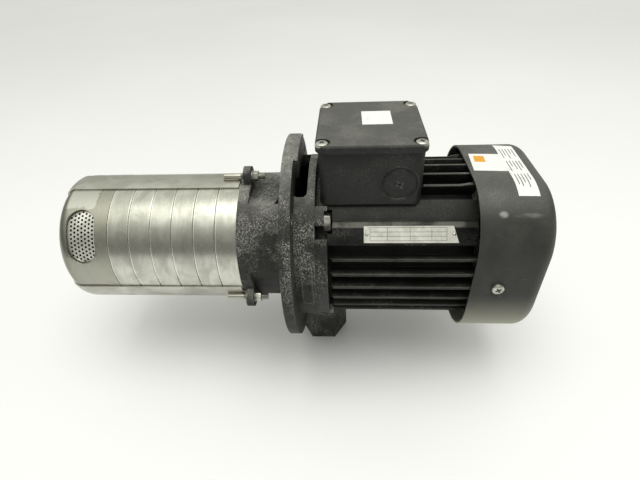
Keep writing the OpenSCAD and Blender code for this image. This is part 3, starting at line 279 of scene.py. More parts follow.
def build_radial_group():
    """Distance from the shaft, and the angle round it from the front with 90 degrees at the top."""
    tree, n, inp, out = new_group(
        "round_shaft", [("Vector", "v", None)], [("Radius", "f"), ("Angle", "f")])
    y, z = n.split(inp["Vector"])[1:3]
    square = n.plus(n.times(y, y), n.times(z, z))
    n.join(n.math("SQRT", square), out["Radius"])
    turn = n.math("ARCTAN2", z, n.times(y, -1.0))
    n.join(n.times(turn, 180.0 / math.pi), out["Angle"])
    return tree


GROUPS = {}


def use(n, name, vector, **values):
    """Adds a shared group; a value named Speck_Scale goes to the input Speck Scale."""
    node = n.add("ShaderNodeGroup")
    node.node_tree = GROUPS[name]
    n.join(vector, node.inputs["Vector"])
    for label, value in values.items():
        node.inputs[label.replace("_", " ")].default_value = value
    return node.outputs


def new_material(name):
    """A material with a Principled BSDF, and the Object coordinates that its patterns read."""
    material = bpy.data.materials.new(name)
    material.use_nodes = True
    tree = material.node_tree
    tree.nodes.clear()
    n = Nodes(tree)
    shader = n.add("ShaderNodeBsdfPrincipled")
    output = n.add("ShaderNodeOutputMaterial")
    n.join(shader.outputs[0], output.inputs[0])
    place = n.add("ShaderNodeTexCoord").outputs["Object"]
    return material, n, shader.inputs, place


def rgb(r, g, b):
    return (r, g, b, 1.0)


def dress(n, shader, colour, rough, normal, metallic=0.0, gloss=0.5):
    """Joins a colour, a roughness and a normal to the shader, and sets its own numbers."""
    n.join(colour, shader["Base Color"])
    n.join(rough, shader["Roughness"])
    n.join(normal, shader["Normal"])
    shader["Metallic"].default_value = metallic
    shader["Specular IOR Level"].default_value = gloss


def dusty_paint(name, base, pale, worn, rough, film, specks, wear_and_glint, grain, grainy,
                speck_scale=SPECKS_PER_METRE, tone=0.25, gloss=0.3, sheltered=0.0):
    """Paint or bare casting with grain, uneven tone, dust and worn edges; on the terminal box the pale
    edges are partly a painted highlight.

    Base, pale and worn are colours. Film and specks are amounts of dust, wear is that of the edges,
    grain is the bump of the casting, and tone and grainy are how far pale and worn show in it.
    Dust lies thin inside the sheltered distance from the shaft.
    """
    material, n, shader, place = new_material(name)
    cast = use(n, "cast_grain", place, Grain=1.0)
    rim = use(n, "edge_wear_and_glint", place, Radius=0.0006, Amount=wear_and_glint)
    dust = use(n, "dust_film", place, Film=film, Specks=specks, Speck_Scale=speck_scale)
    uneven = n.mix(n.step(cast["Tone"], 0.35, 0.7, 0.0, tone), base, pale)
    uneven = n.mix(n.step(cast["Fine"], 0.48, 0.72, 0.0, grainy), uneven, worn)
    # Pale edges: worn, and on the terminal box partly a painted highlight.
    rubbed = n.mix(rim["Mask"], uneven, worn)
    lying = dust["Mask"]
    if sheltered:
        reach = use(n, "round_shaft", place)["Radius"]
        lying = n.times(lying, n.step(reach, sheltered - 0.002, sheltered + 0.002, 0.2, 1.0))
    filmed = n.mix(lying, rubbed, rgb(0.36, 0.355, 0.33))
    colour = n.mix(dust["Specks"], filmed, rgb(0.88, 0.87, 0.82))
    dirt = n.plus(lying, dust["Specks"], clamp=True)
    smooth = n.step(cast["Tone"], 0.3, 0.7, rough - 0.07, rough + 0.07)
    dress(n, shader, colour, n.plus(smooth, n.times(dirt, 0.35), clamp=True),
          n.bump(cast["Height"], grain, 0.0006, rim["Normal"]), gloss=gloss)
    return material


def build_stainless():
    """Pressed stainless sheet with fine turning lines, water stains, and painted highlights along its
    edges and beside the rolled joints of the stages.

    The strainer, at the left end, is darker. It has a paler residue between its windows and the
    first stage, and one strip above the front window is wiped bright.
    """
    material, n, shader, place = new_material("stainless_stained")
    around = use(n, "round_shaft", place)
    x = n.split(place)[0]
    lines = n.noise(place, (2600.0, 26.0, 26.0), 2.0, 0.5)
    blotch = n.noise(place, (70.0, 45.0, 45.0), 7.0, 0.62, 0.6)
    drips = n.noise(place, (120.0, 16.0, 22.0), 6.0, 0.6, 0.9)
    rim = use(n, "edge_wear_and_glint", place, Radius=0.0005, Amount=1.0)
    ragged = n.noise(place, (260.0, 200.0, 200.0), 5.0, 0.7)
    tone = n.mix(n.step(blotch, 0.34, 0.66), rgb(0.44, 0.435, 0.39), rgb(0.61, 0.605, 0.55))
    tone = n.mix(n.step(drips, 0.52, 0.68, 0.0, 0.35), tone, rgb(0.36, 0.35, 0.305))

    # The strainer. An edge is given as where it starts and where it ends, along x or in degrees
    # round the shaft, and the stains' own edges are made ragged by as much as 4 mm or 8 degrees.
    strainer, closed_end, window_edge = (-0.1462, -0.1476), (-0.1815, -0.1850), (-0.1585, -0.1572)
    wiped_low, wiped_high = (59.0, 60.5), (84.0, 82.0)
    wiped_left, wiped_right = (-0.1852, -0.1836), (-0.1592, -0.1600)
    wander = n.math("SUBTRACT", ragged, 0.5)
    ragged_x = n.plus(x, n.times(wander, 0.008))
    ragged_angle = n.plus(around["Angle"], n.times(wander, 16.0))
    on_strainer = n.step(x, *strainer)
    tone = n.mix(n.times(on_strainer, 0.8), tone, rgb(0.31, 0.305, 0.26))
    tone = n.mix(n.step(ragged_x, *closed_end, 0.0, 0.7), tone, rgb(0.25, 0.245, 0.205))
    residue = n.times(n.step(ragged_x, *window_edge), on_strainer)
    residue = n.times(residue, n.step(ragged, 0.3, 0.6, 0.4, 1.0))
    tone = n.mix(residue, tone, rgb(0.40, 0.395, 0.335))
    wiped = n.band(ragged_angle, wiped_low, wiped_high)
    wiped = n.times(wiped, n.times(n.step(x, *wiped_left), n.step(ragged_x, *wiped_right)))
    tone = n.mix(n.times(wiped, 0.85), tone, rgb(0.58, 0.575, 0.52))

    # The stages: a painted highlight beside each joint, where the rolled edge would catch the light, at
    # the same share of every stage's length. The outer edges get a painted highlight too, fainter on the
    # strainer.
    first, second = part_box("chamber_1")[0].x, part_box("chamber_2")[0].x
    stage = n.math("FRACT", n.math("DIVIDE", n.math("SUBTRACT", x, first - 0.0001), second - first))
    rolled = n.band(stage, (0.0, 0.025), (0.085, 0.060))
    rolled = n.times(rolled, n.step(x, first - 0.001, first))
    edges = n.times(rim["Mask"], n.rest(n.times(on_strainer, 0.7)))
    bright = n.math("MAXIMUM", edges, n.times(rolled, n.step(ragged, 0.3, 0.6, 0.5, 1.0)))
    rough = n.step(blotch, 0.3, 0.7, 0.30, 0.20)
    dull = n.times(n.math("MAXIMUM", residue, wiped), 0.15)
    height = n.plus(n.times(lines, 0.5), n.times(blotch, 0.4))
    dress(n, shader, n.mix(bright, tone, rgb(0.86, 0.85, 0.80)), n.plus(rough, dull, clamp=True),
          n.bump(height, 0.18, 0.0002, rim["Normal"]), metallic=1.0)
    return material


def build_strap_steel():
    """Strap sheet like the stack's, with a rolled thread on the studs."""
    material, n, shader, place = new_material("strap_steel")
    around = use(n, "round_shaft", place)
    x = n.split(place)[0]
    blotch = n.noise(place, (40.0, 60.0, 60.0), 7.0, 0.62, 0.5)
    grainy = n.noise(place, (40.0, 1500.0, 1500.0), 2.0, 0.5)
    rim = use(n, "edge_wear_and_glint", place, Radius=0.0004, Amount=0.6)
    tone = n.mix(n.step(blotch, 0.36, 0.66), rgb(0.44, 0.43, 0.385), rgb(0.60, 0.595, 0.54))
    stud, threaded = (0.0577, 0.0580), (-0.0412, -0.0404)  # from the shaft, and along x
    on_stud = n.step(around["Radius"], *stud)
    tone = n.mix(n.times(on_stud, 0.5), tone, rgb(0.36, 0.34, 0.29))
    colour = n.mix(n.times(rim["Mask"], 0.6), tone, rgb(0.74, 0.73, 0.69))
    wave = n.math("SINE", n.times(x, 2.0 * math.pi / STUD_PITCH))
    thread = n.times(n.times(wave, on_stud), n.step(x, *threaded))
    height = n.plus(n.times(grainy, 0.25), thread)
    dress(n, shader, colour, n.step(blotch, 0.3, 0.7, 0.44, 0.32),
          n.bump(height, 0.45, 0.0003, rim["Normal"]), metallic=1.0)
    return material


def build_plain_metal(name, base, dark, rough, film=0.0, fine=300.0):
    """Turned, plated or drawn metal with a light patina, and fine lines or grains."""
    material, n, shader, place = new_material(name)
    rim = use(n, "edge_wear_and_glint", place, Radius=0.0003, Amount=0.6)
    patina = n.noise(place, 220.0, 6.0, 0.6)
    relief = n.noise(place, fine, 3.0, 0.6)
    dust = use(n, "dust_film", place, Film=film, Specks=film)
    tone = n.mix(n.step(patina, 0.4, 0.7, 0.0, 0.8), base, dark)
    # Pale worn edges; on the dull zinc motor screws they also stand in for a painted highlight.
    tone = n.mix(rim["Mask"], tone, rgb(0.78, 0.77, 0.74))
    dress(n, shader, n.mix(dust["Mask"], tone, rgb(0.60, 0.59, 0.54)),
          n.step(patina, 0.3, 0.7, rough - 0.06, rough + 0.1),
          n.bump(relief, 0.15, 0.0002, rim["Normal"]), metallic=1.0)
    return material


def spot(n, place, centre, shares, reach):
    """A soft spot round a place, 1 at its middle and longer along an axis with a small share."""
    moved = n.stretch(place, shares, shift=tuple(-c * k for c, k in zip(centre, shares)))
    length = n.add("ShaderNodeVectorMath", operation="LENGTH")
    n.join(moved, length.inputs[0])
    return n.step(length.outputs["Value"], reach, reach * 0.3)


def build_cover_paint():
    """Grey fan cover paint, with rubbed patches and two scuffs, and low down a pale film that is partly
    dust and partly a painted reflection of the white table.
    """
    material, n, shader, place = new_material("cover_grey_paint")
    z = n.split(place)[2]
    dust_and_reflection_top, dust_and_reflection_full = -0.004, -0.054
    cast = use(n, "cast_grain", place, Grain=0.6)
    rim = use(n, "edge_wear_and_glint", place, Radius=0.0008, Amount=0.35)
    dust = use(n, "dust_film", place, Film=0.4, Specks=0.25, Speck_Scale=500.0)
    cloudy = n.noise(place, (26.0, 18.0, 18.0), 6.0, 0.6, 0.4)
    base = n.mix(n.step(cloudy, 0.35, 0.7), rgb(0.024, 0.025, 0.022), rgb(0.036, 0.037, 0.033))
    # Lighter towards the bottom: a pale film, partly dust and partly a painted reflection of the white
    # table below.
    film = n.times(n.step(z, dust_and_reflection_top, dust_and_reflection_full), n.step(cloudy, 0.3, 0.6, 0.75, 1.0))
    base = n.mix(film, base, rgb(0.36, 0.355, 0.29))
    rub = n.noise(place, (60.0, 60.0, 300.0), 5.0, 0.7, 0.8)
    rubbed = n.times(n.step(rub, 0.63, 0.72), n.step(cloudy, 0.45, 0.6))
    base = n.mix(n.times(rubbed, 0.5), base, rgb(0.20, 0.20, 0.185))
    scuff = n.times(spot(n, place, (0.1608, -0.0547, 0.0580), (0.8, 1.0, 1.0), 0.0034), 0.6)
    smear = n.times(spot(n, place, (0.1785, -0.0552, 0.0573), (0.2, 1.0, 1.0), 0.0026), 0.18)
    marks = n.times(n.math("MAXIMUM", scuff, smear), n.step(rub, 0.42, 0.58, 0.2, 1.0))
    base = n.mix(marks, base, rgb(0.48, 0.47, 0.44))
    base = n.mix(rim["Mask"], base, rgb(0.28, 0.27, 0.24))
    dress(n, shader, n.mix(dust["Mask"], base, rgb(0.33, 0.33, 0.30)),
          n.step(cloudy, 0.3, 0.7, 0.42, 0.55),
          n.bump(cast["Height"], 0.12, 0.0003, rim["Normal"]), gloss=0.3)
    return material


def build_motor_paint():
    """Motor paint: near black in the fins, grey rubbed tips, pale edges that are partly worn and partly a
    painted highlight along the fins, and dust on what looks up.

    The smooth corner above the front is clean, with a strip of dust along its lower edge.
    """
    material, n, shader, place = new_material("motor_black_paint")
    around = use(n, "round_shaft", place)
    cast = use(n, "cast_grain", place, Grain=1.0)
    rim = use(n, "edge_wear_and_glint", place, Radius=0.0004, Amount=0.8)
    dust = use(n, "dust_film", place, Film=0.32, Specks=0.35, Speck_Scale=600.0)
    # Edges as where they start and where they end, from the shaft or in degrees round it.
    fin_tip, open_fin, deep_fin = (0.0675, 0.0681), (0.0668, 0.0680), (0.0620, 0.0660)
    corner, dusty_strip = ((43.5, 46.5), (66.0, 64.0)), ((40.4, 41.4), (45.4, 44.4))
    tip = n.step(around["Radius"], *fin_tip)
    uneven = n.mix(
        n.step(cast["Tone"], 0.35, 0.7), rgb(0.0050, 0.0050, 0.0048), rgb(0.011, 0.011, 0.010))
    clean = n.band(around["Angle"], *corner)
    rubbed = n.times(tip, n.step(cast["Tone"], 0.4, 0.65, 0.35, 0.9))
    rubbed = n.times(rubbed, n.rest(clean))
    tone = n.mix(rubbed, uneven, rgb(0.040, 0.040, 0.037))
    tone = n.mix(n.times(clean, 0.8), tone, rgb(0.017, 0.0175, 0.016))
    # Pale edges: partly wear, partly a painted highlight along the fin tips.
    tone = n.mix(rim["Mask"], tone, rgb(0.17, 0.168, 0.155))
    strip = n.band(around["Angle"], *dusty_strip)
    strip = n.times(strip, n.step(cast["Tone"], 0.36, 0.6, 0.2, 0.8))
    open_face = n.step(around["Radius"], *open_fin, 0.05, 1.0)
    film = n.times(dust["Mask"], n.rest(n.times(clean, 0.92)))
    film = n.math("MAXIMUM", n.times(film, open_face), n.times(strip, 0.55))
    tone = n.mix(film, tone, rgb(0.36, 0.355, 0.32))
    specks = n.times(dust["Specks"], n.step(around["Radius"], *deep_fin, 0.1, 1.0))
    specks = n.times(specks, n.rest(n.times(clean, 0.6)))
    dress(n, shader, n.mix(specks, tone, rgb(0.55, 0.54, 0.50)),
          n.step(cast["Tone"], 0.3, 0.7, 0.42, 0.56),
          n.bump(cast["Height"], 0.35, 0.0006, rim["Normal"]), gloss=0.22)
    return material


def build_screen_steel():
    """Perforated sheet, bright but uneven with residue."""
    material, n, shader, place = new_material("screen_steel")
    blotch = n.noise(place, 120.0, 6.0, 0.6)
    tone = n.mix(n.step(blotch, 0.35, 0.65), rgb(0.62, 0.61, 0.56), rgb(0.86, 0.85, 0.80))
    dress(n, shader, tone, n.step(blotch, 0.3, 0.7, 0.5, 0.4), n.bump(blotch, 0.1, 0.0003),
          metallic=1.0)
    return material


def build_soft_black(name, base, pale, rough):
    """Moulded rubber or plastic with a fine grain."""
    material, n, shader, place = new_material(name)
    fine = n.noise(place, 700.0, 4.0, 0.6)
    cloudy = n.noise(place, 60.0, 4.0, 0.6)
    dress(n, shader, n.mix(n.step(cloudy, 0.35, 0.7), base, pale),
          n.step(fine, 0.3, 0.7, rough - 0.08, rough + 0.08), n.bump(fine, 0.2, 0.0002))
    return material


def build_copper():
    """Varnished copper wire wound round the shaft."""
    material, n, shader, place = new_material("winding_copper")
    around = use(n, "round_shaft", place)
    wire = 0.0009
    strands = n.math("SINE", n.times(around["Radius"], 2.0 * math.pi / wire))
    cloudy = n.noise(place, 200.0, 4.0, 0.6)
    tone = n.mix(n.step(cloudy, 0.35, 0.7), rgb(0.40, 0.14, 0.05), rgb(0.62, 0.27, 0.11))
    dress(n, shader, tone, n.step(cloudy, 0.3, 0.7, 0.3, 0.45), n.bump(strands, 0.5, 0.0004),
          metallic=0.9)
    return material


def build_plate_metal():
    """Satin sheet with a drawn grain and grimy patches."""
    material, n, shader, place = new_material("nameplate_satin")
    grain = n.noise(place, (40.0, 2400.0, 2400.0), 2.0, 0.5)
    blotch = n.noise(place, 90.0, 6.0, 0.6, 0.5)
    tone = n.mix(n.step(blotch, 0.38, 0.66), rgb(0.78, 0.77, 0.72), rgb(0.58, 0.57, 0.52))
    dress(n, shader, tone, n.step(blotch, 0.3, 0.7, 0.40, 0.52), n.bump(grain, 0.12, 0.0002),
          metallic=0.45)
    return material


def build_label(name, base, dirty):
    """Paper or film label, lightly soiled."""
    material, n, shader, place = new_material(name)
    soil = n.noise(place, 110.0, 7.0, 0.65, 0.6)
    dress(n, shader, n.mix(n.step(soil, 0.45, 0.75, 0.0, 0.8), base, dirty),
          n.step(soil, 0.3, 0.7, 0.42, 0.6), n.bump(soil, 0.08, 0.0003))
    return material


def build_floor():
    """Pale table like a matt board, hardly cloudy."""
    material, n, shader, place = new_material("pale_table")
    cloudy = n.noise(place, 1.2, 3.0, 0.5)
    tone = n.mix(n.step(cloudy, 0.35, 0.7), rgb(0.89, 0.89, 0.91), rgb(0.93, 0.93, 0.95))
    n.join(tone, shader["Base Color"])
    shader["Roughness"].default_value = 0.55
    return material


MATERIALS = {}


def build_materials():
    """Makes the shared groups and then every material, kept under the short name of its finish."""
    GROUPS["edge_wear_and_glint"] = build_edge_group()
    GROUPS["dust_film"] = build_dust_group()
    GROUPS["cast_grain"] = build_cast_group()
    GROUPS["round_shaft"] = build_radial_group()
    m = MATERIALS
    m["cast_head"] = dusty_paint(
        "cast_iron_head", rgb(0.010, 0.010, 0.009), rgb(0.032, 0.032, 0.029), rgb(0.24, 0.235, 0.205),
        rough=0.62, film=0.55, specks=1.0, wear_and_glint=0.7, grain=1.0, grainy=0.15, speck_scale=620.0, tone=0.55,
        sheltered=0.0525)
    m["motor_shield"] = dusty_paint(
        "motor_shield_paint", rgb(0.012, 0.012, 0.011), rgb(0.032, 0.032, 0.029), rgb(0.14, 0.138, 0.13),
        rough=0.5, film=0.5, specks=0.6, wear_and_glint=0.5, grain=0.4, grainy=0.12)
    # The terminal box's strong, pale edges are partly a painted highlight along the edges of box and lid.
    m["box"] = dusty_paint(
        "terminal_box_paint", rgb(0.013, 0.014, 0.0125), rgb(0.022, 0.023, 0.0205), rgb(0.16, 0.16, 0.147),
        rough=0.48, film=0.42, specks=0.12, wear_and_glint=0.7, grain=0.25, grainy=0.03, speck_scale=620.0,
        gloss=0.28)
    m["motor"] = build_motor_paint()
    m["cover"] = build_cover_paint()
    m["stainless"] = build_stainless()
    m["strap"] = build_strap_steel()
    m["screen"] = build_screen_steel()
    m["fastener"] = build_plain_metal(
        "zinc_plated", rgb(0.55, 0.54, 0.50), rgb(0.26, 0.25, 0.22), rough=0.36, film=0.5)
    # The dark motor screws keep pale edges, partly worn plating and partly a painted highlight.
    m["dull_zinc"] = build_plain_metal(
        "dull_zinc", rgb(0.17, 0.165, 0.15), rgb(0.07, 0.068, 0.06), rough=0.42, film=0.6)
    m["weld"] = build_plain_metal(
        "weld_bead", rgb(0.34, 0.31, 0.25), rgb(0.14, 0.125, 0.10), rough=0.5, film=0.3)
    m["machined"] = build_plain_metal(
        "machined_steel", rgb(0.56, 0.56, 0.55), rgb(0.40, 0.40, 0.39), rough=0.28)
    m["core"] = build_plain_metal(
        "core_sheets", rgb(0.20, 0.19, 0.18), rgb(0.12, 0.11, 0.10), rough=0.5, fine=(2500.0, 20.0, 20.0))
    m["copper"] = build_copper()
    m["rubber"] = build_soft_black(
        "black_rubber", rgb(0.020, 0.020, 0.020), rgb(0.035, 0.035, 0.034), rough=0.72)
    m["plastic"] = build_soft_black(
        "black_plastic", rgb(0.018, 0.018, 0.018), rgb(0.03, 0.03, 0.03), rough=0.48)
    m["carbon"] = build_soft_black(
        "carbon_ring", rgb(0.030, 0.030, 0.032), rgb(0.05, 0.05, 0.052), rough=0.3)
    m["plate"] = build_plate_metal()
    m["ruling"] = build_label("dark_ruling", rgb(0.03, 0.03, 0.03), rgb(0.08, 0.08, 0.075))
    m["label"] = build_label("white_label", rgb(0.86, 0.86, 0.85), rgb(0.66, 0.655, 0.62))
    m["amber"] = build_label("amber_patch", rgb(0.78, 0.36, 0.03), rgb(0.55, 0.28, 0.06))
    m["floor"] = build_floor()


# The solids that get each finish.
FINISH = {
    "cast_head": ["pump_head", "mounting_flange", "motor_stool", "discharge_boss"],
    "motor_shield": ["motor_flange", "rear_end_shield", "coupling_half_1", "coupling_half_2"],
    "motor": ["stator_frame"],
    "box": ["terminal_box", "box_lid"],
    "cover": ["fan_cover"],
    "stainless": ["strainer_housing"] + ["chamber_%d" % i for i in range(1, 7)],
    "strap": ["strap_1", "strap_2", "strap_3"],
    "screen": ["strainer_screen"],
    "fastener": ["strap_washers", "strap_nuts", "shaft_nut", "coupling_screws", "flange_screws",
                 "frame_screws", "cover_screws", "lid_screws", "terminal_studs"],
    "machined": ["neck_rings", "impeller_spacers", "pump_shaft", "motor_shaft", "seal_head",
                 "drive_bearing_outer", "drive_bearing_inner", "drive_bearing_cage", "fan_bearing_outer",
                 "fan_bearing_inner", "fan_bearing_cage"] + ["impeller_%d" % i for i in range(1, 7)],
    "core": ["stator_core", "rotor_core"],
    "copper": ["windings"],
    "carbon": ["seal_seat", "inlet_bush"],
    "rubber": ["seal_bellows", "box_gasket"],
    "plastic": ["cooling_fan", "terminal_board"],
    "plate": ["nameplate"],
}


def paint(obj, finish):
    """Gives an object one finish and no other."""
    obj.data.materials.clear()
    obj.data.materials.append(MATERIALS[finish])


# Meshes

def add_object(name, mesh, finish):
    obj = bpy.data.objects.new(name, mesh)
    bpy.context.scene.collection.objects.link(obj)
    paint(obj, finish)
    return obj


def turned(degrees, axis):
    return Matrix.Rotation(math.radians(degrees), 4, axis)


def at_angle(angle, x, distance):
    """A place at an angle round the shaft, at x along it and at a distance from it."""
    return turned(-angle, "X") @ Matrix.Translation((x, -distance, 0.0))


def smooth_by_angle(mesh, limit=32.0):
    """Shades soft faces smooth and keeps edges sharper than the limit."""
    bm = bmesh.new()
    bm.from_mesh(mesh)
    for face in bm.faces:
        face.smooth = True
    for edge in bm.edges:
        if len(edge.link_faces) == 2:
            edge.smooth = edge.calc_face_angle(0.0) < math.radians(limit)
        else:
            edge.smooth = False
    bm.to_mesh(mesh)
    bm.free()


def freeze(obj):
    """Turns the evaluated object into a plain mesh and removes its modifiers."""
    deps = bpy.context.evaluated_depsgraph_get()
    mesh = bpy.data.meshes.new_from_object(obj.evaluated_get(deps))
    obj.modifiers.clear()
    obj.data = mesh


def softened_copy(node, name, finish, width, seam=None):
    """A copy of a solid that stands for it, with its sharp edges rounded.

    The seam says of a vertex whether it lies where two solids of one casting meet, and edges with
    both ends there stay sharp, so that the seam doesn't show.
    """
    source = NODES[node]
    mesh = source.data.copy()
    bm = bmesh.new()
    bm.from_mesh(mesh)
    bmesh.ops.remove_doubles(bm, verts=bm.verts, dist=1e-6)
    bmesh.ops.dissolve_limit(bm, angle_limit=math.radians(0.4), verts=bm.verts, edges=bm.edges)
    weights = bm.edges.layers.float.new("bevel_weight_edge")
    for edge in bm.edges:
        sharp = len(edge.link_faces) == 2 and edge.calc_face_angle(0.0) > SHARP_ANGLE
        joined = seam is not None and all(seam(vertex.co) for vertex in edge.verts)
        edge[weights] = 1.0 if sharp and not joined else 0.0
    bm.to_mesh(mesh)
    bm.free()
    obj = add_object(name, mesh, finish)
    bevel = obj.modifiers.new("rounded_edges", "BEVEL")
    bevel.width = width
    bevel.segments = 2
    bevel.limit_method = "WEIGHT"
    bevel.use_clamp_overlap = True
    freeze(obj)
    smooth_by_angle(obj.data, 40.0)
    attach(obj, source["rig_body"])
    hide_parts(node)


def mesh_from(bm, name):
    """Ends a bmesh and gives its mesh, with all faces turned outward."""
    mesh = bpy.data.meshes.new(name)
    bmesh.ops.recalc_face_normals(bm, faces=bm.faces)
    bm.to_mesh(mesh)
    bm.free()
    return mesh


def circle(radius, height, steps):
    """Points round the local Z axis."""
    turns = [2 * math.pi * k / steps for k in range(steps)]
    return [Vector((radius * math.cos(a), radius * math.sin(a), height)) for a in turns]


def join_rings(bm, rings):
    """A closed band of faces between each ring of vertices and the next; a ring may be one point."""
    for low, high in zip(rings, rings[1:]):
        for k in range(max(len(low), len(high))):
            corners = [low[k % len(low)], low[(k + 1) % len(low)],
                       high[(k + 1) % len(high)], high[k % len(high)]]
            corners = list(dict.fromkeys(corners))
            if len(corners) > 2:
                bm.faces.new(corners)


def lathe(bm, profile, matrix, steps):
    """Turns a profile of (radius, height) about the local Z axis and joins it to bm."""
    rings = []
    for radius, height in profile:
        points = circle(radius, height, steps) if radius else [Vector((0, 0, height))]
        rings.append([bm.verts.new(matrix @ point) for point in points])
    join_rings(bm, rings)


def rectangle(x0, y0, x1, y1):
    return [(x0, y0), (x1, y0), (x1, y1), (x0, y1)]


def slab(bm, outline, thickness, matrix):
    """A thin plate from a flat outline, its top a little smaller than its foot."""
    low = [bm.verts.new(matrix @ Vector((x, y, 0.0))) for x, y in outline]
    cx = sum(p[0] for p in outline) / len(outline)
    cy = sum(p[1] for p in outline) / len(outline)
    inner = [(cx + (x - cx) * 0.992, cy + (y - cy) * 0.992) for x, y in outline]
    high = [bm.verts.new(matrix @ Vector((x, y, thickness))) for x, y in inner]
    join_rings(bm, [low, high])
    bm.faces.new(high)
    bm.faces.new(list(reversed(low)))


# Geometry Nodes

def set_input(modifier, tree, label, value):
    """Sets a Geometry Nodes input by the identifier of the socket that has this label."""
    for item in tree.interface.items_tree:
        if item.item_type == "SOCKET" and item.in_out == "INPUT" and item.name == label:
            modifier[item.identifier] = value
            return
    raise KeyError(label)


def build_guide_tree():
    """Places one piece at each point of a guide mesh, turned by the guide's own attribute "turn"."""
    tree = bpy.data.node_groups.new("pieces_on_guide", "GeometryNodeTree")
    for label, kind in (("Guide", "Geometry"), ("Piece", "Object"), ("Finish", "Material")):
        tree.interface.new_socket(label, in_out="INPUT", socket_type="NodeSocket" + kind)
    tree.interface.new_socket("Geometry", in_out="OUTPUT", socket_type="NodeSocketGeometry")
    n = Nodes(tree)
    inp = n.add("NodeGroupInput").outputs
    info = n.add("GeometryNodeObjectInfo", transform_space="ORIGINAL")
    n.join(inp["Piece"], info.inputs["Object"])
    turn = n.add("GeometryNodeInputNamedAttribute", data_type="FLOAT_VECTOR")
    turn.inputs["Name"].default_value = "turn"
    spread = n.add("GeometryNodeInstanceOnPoints")
    n.join(inp["Guide"], spread.inputs["Points"])
    n.join(info.outputs["Geometry"], spread.inputs["Instance"])
    n.join(turn.outputs[0], spread.inputs["Rotation"])
    real = n.add("GeometryNodeRealizeInstances")
    n.join(spread.outputs[0], real.inputs[0])
    finish = n.add("GeometryNodeSetMaterial")
    n.join(real.outputs[0], finish.inputs["Geometry"])
    n.join(inp["Finish"], finish.inputs["Material"])
    n.join(finish.outputs[0], n.add("NodeGroupOutput").inputs[0])
    return tree


def spread_pieces(name, piece_mesh, places, finish):
    """Copies of one piece at places, each given as a matrix, made real as one plain mesh."""
    piece = bpy.data.objects.new(name + "_piece", piece_mesh)
    guide = bpy.data.meshes.new(name + "_guide")
    guide.from_pydata([tuple(m.translation) for m in places], [], [])
    turn = guide.attributes.new("turn", "FLOAT_VECTOR", "POINT")
    for item, matrix in zip(turn.data, places):
        item.vector = matrix.to_euler("XYZ")
    obj = bpy.data.objects.new(name, guide)
    bpy.context.scene.collection.objects.link(obj)
    tree = bpy.data.node_groups.get("pieces_on_guide") or build_guide_tree()
    modifier = obj.modifiers.new("pieces", "NODES")
    modifier.node_group = tree
    set_input(modifier, tree, "Piece", piece)
    set_input(modifier, tree, "Finish", MATERIALS[finish])
    obj.update_tag()
    bpy.context.view_layer.update()
    freeze(obj)
    paint(obj, finish)
    bpy.data.objects.remove(piece)
    return obj


# Settings

class PumpFinishSettings(bpy.types.PropertyGroup):
    """Sizes of the rounded edges and the fine detail."""

    cast_edge: bpy.props.FloatProperty(
        name="Cast edge", description="Rounding of the edges of castings", default=0.0009, min=0.0,
        unit="LENGTH")
    sheet_edge: bpy.props.FloatProperty(
        name="Sheet edge", description="Rounding of the edges of pressed sheet", default=0.0003, min=0.0,
        unit="LENGTH")
    recess_size: bpy.props.FloatProperty(
        name="Screw recess", description="Length of the cross recess in a pan head screw", default=0.0046,
        min=0.001, unit="LENGTH")
    thread_pitch: bpy.props.FloatProperty(
        name="Thread pitch", description="Pitch of the thread on the strap studs", default=STUD_PITCH,
        min=0.0004, unit="LENGTH")
    label_thickness: bpy.props.FloatProperty(
        name="Label thickness", description="Thickness of the labels on lid and cover", default=0.00015,
        min=0.00005, unit="LENGTH")


class PumpStageSettings(bpy.types.PropertyGroup):
    """Light, table and camera."""

    key_light: bpy.props.FloatProperty(
        name="Key light", description="Power of the large lamp above", default=7.9, min=0.0, unit="POWER")
    fill_light: bpy.props.FloatProperty(
        name="Fill light", description="Power of the lamp at the side", default=1.5, min=0.0, unit="POWER")
    sky_strength: bpy.props.FloatProperty(
        name="Sky", description="Strength of the soft light from all round", default=1.0, min=0.0)
    focal_length: bpy.props.FloatProperty(
        name="Focal length", description="Lens of the camera", default=23.625, min=1.0, unit="CAMERA")


# Operators

class PUMP_OT_finishes(bpy.types.Operator):
    """Builds the materials and gives one to every solid"""

    bl_idname = "pump.finishes"
    bl_label = "Finishes"

    def execute(self, context):
        build_materials()
        left = set(NODES)
        for finish, names in FINISH.items():
            for name in names:
                paint(NODES[name], finish)
                left.discard(name)
        if left:
            raise RuntimeError("no finish for %s" % sorted(left))
        return {"FINISHED"}


class PUMP_OT_housings(bpy.types.Operator):
    """Rounds the edges of the castings and the pressed sheet"""

    bl_idname = "pump.housings"
    bl_label = "Rounded housings"

    def execute(self, context):
        settings = context.scene.pump_finish
        cast, sheet = settings.cast_edge, settings.sheet_edge
        near = 0.0001
        stool_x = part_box("motor_stool")[0].x
        softened_copy("pump_head", "head_barrel", "cast_head", cast,
                      seam=lambda co: co.x > -near)
        softened_copy("mounting_flange", "head_flange", "cast_head", cast,
                      seam=lambda co: math.hypot(co.y, co.z) < HEAD_RADIUS + 2 * near)
        softened_copy("motor_stool", "head_stool", "cast_head", cast,
                      seam=lambda co: co.x < stool_x + near)
        softened_copy("discharge_boss", "head_boss", "cast_head", cast)
        softened_copy("motor_flange", "drive_shield_casting", "motor_shield", cast * 0.7)
        softened_copy("stator_frame", "finned_frame", "motor", cast * 0.7)
        softened_copy("terminal_box", "box_casting", "box", cast * 0.8)
        softened_copy("box_lid", "lid_casting", "box", cast * 0.6)
        softened_copy("fan_cover", "cover_pressing", "cover", sheet * 1.5)
        return {"FINISHED"}


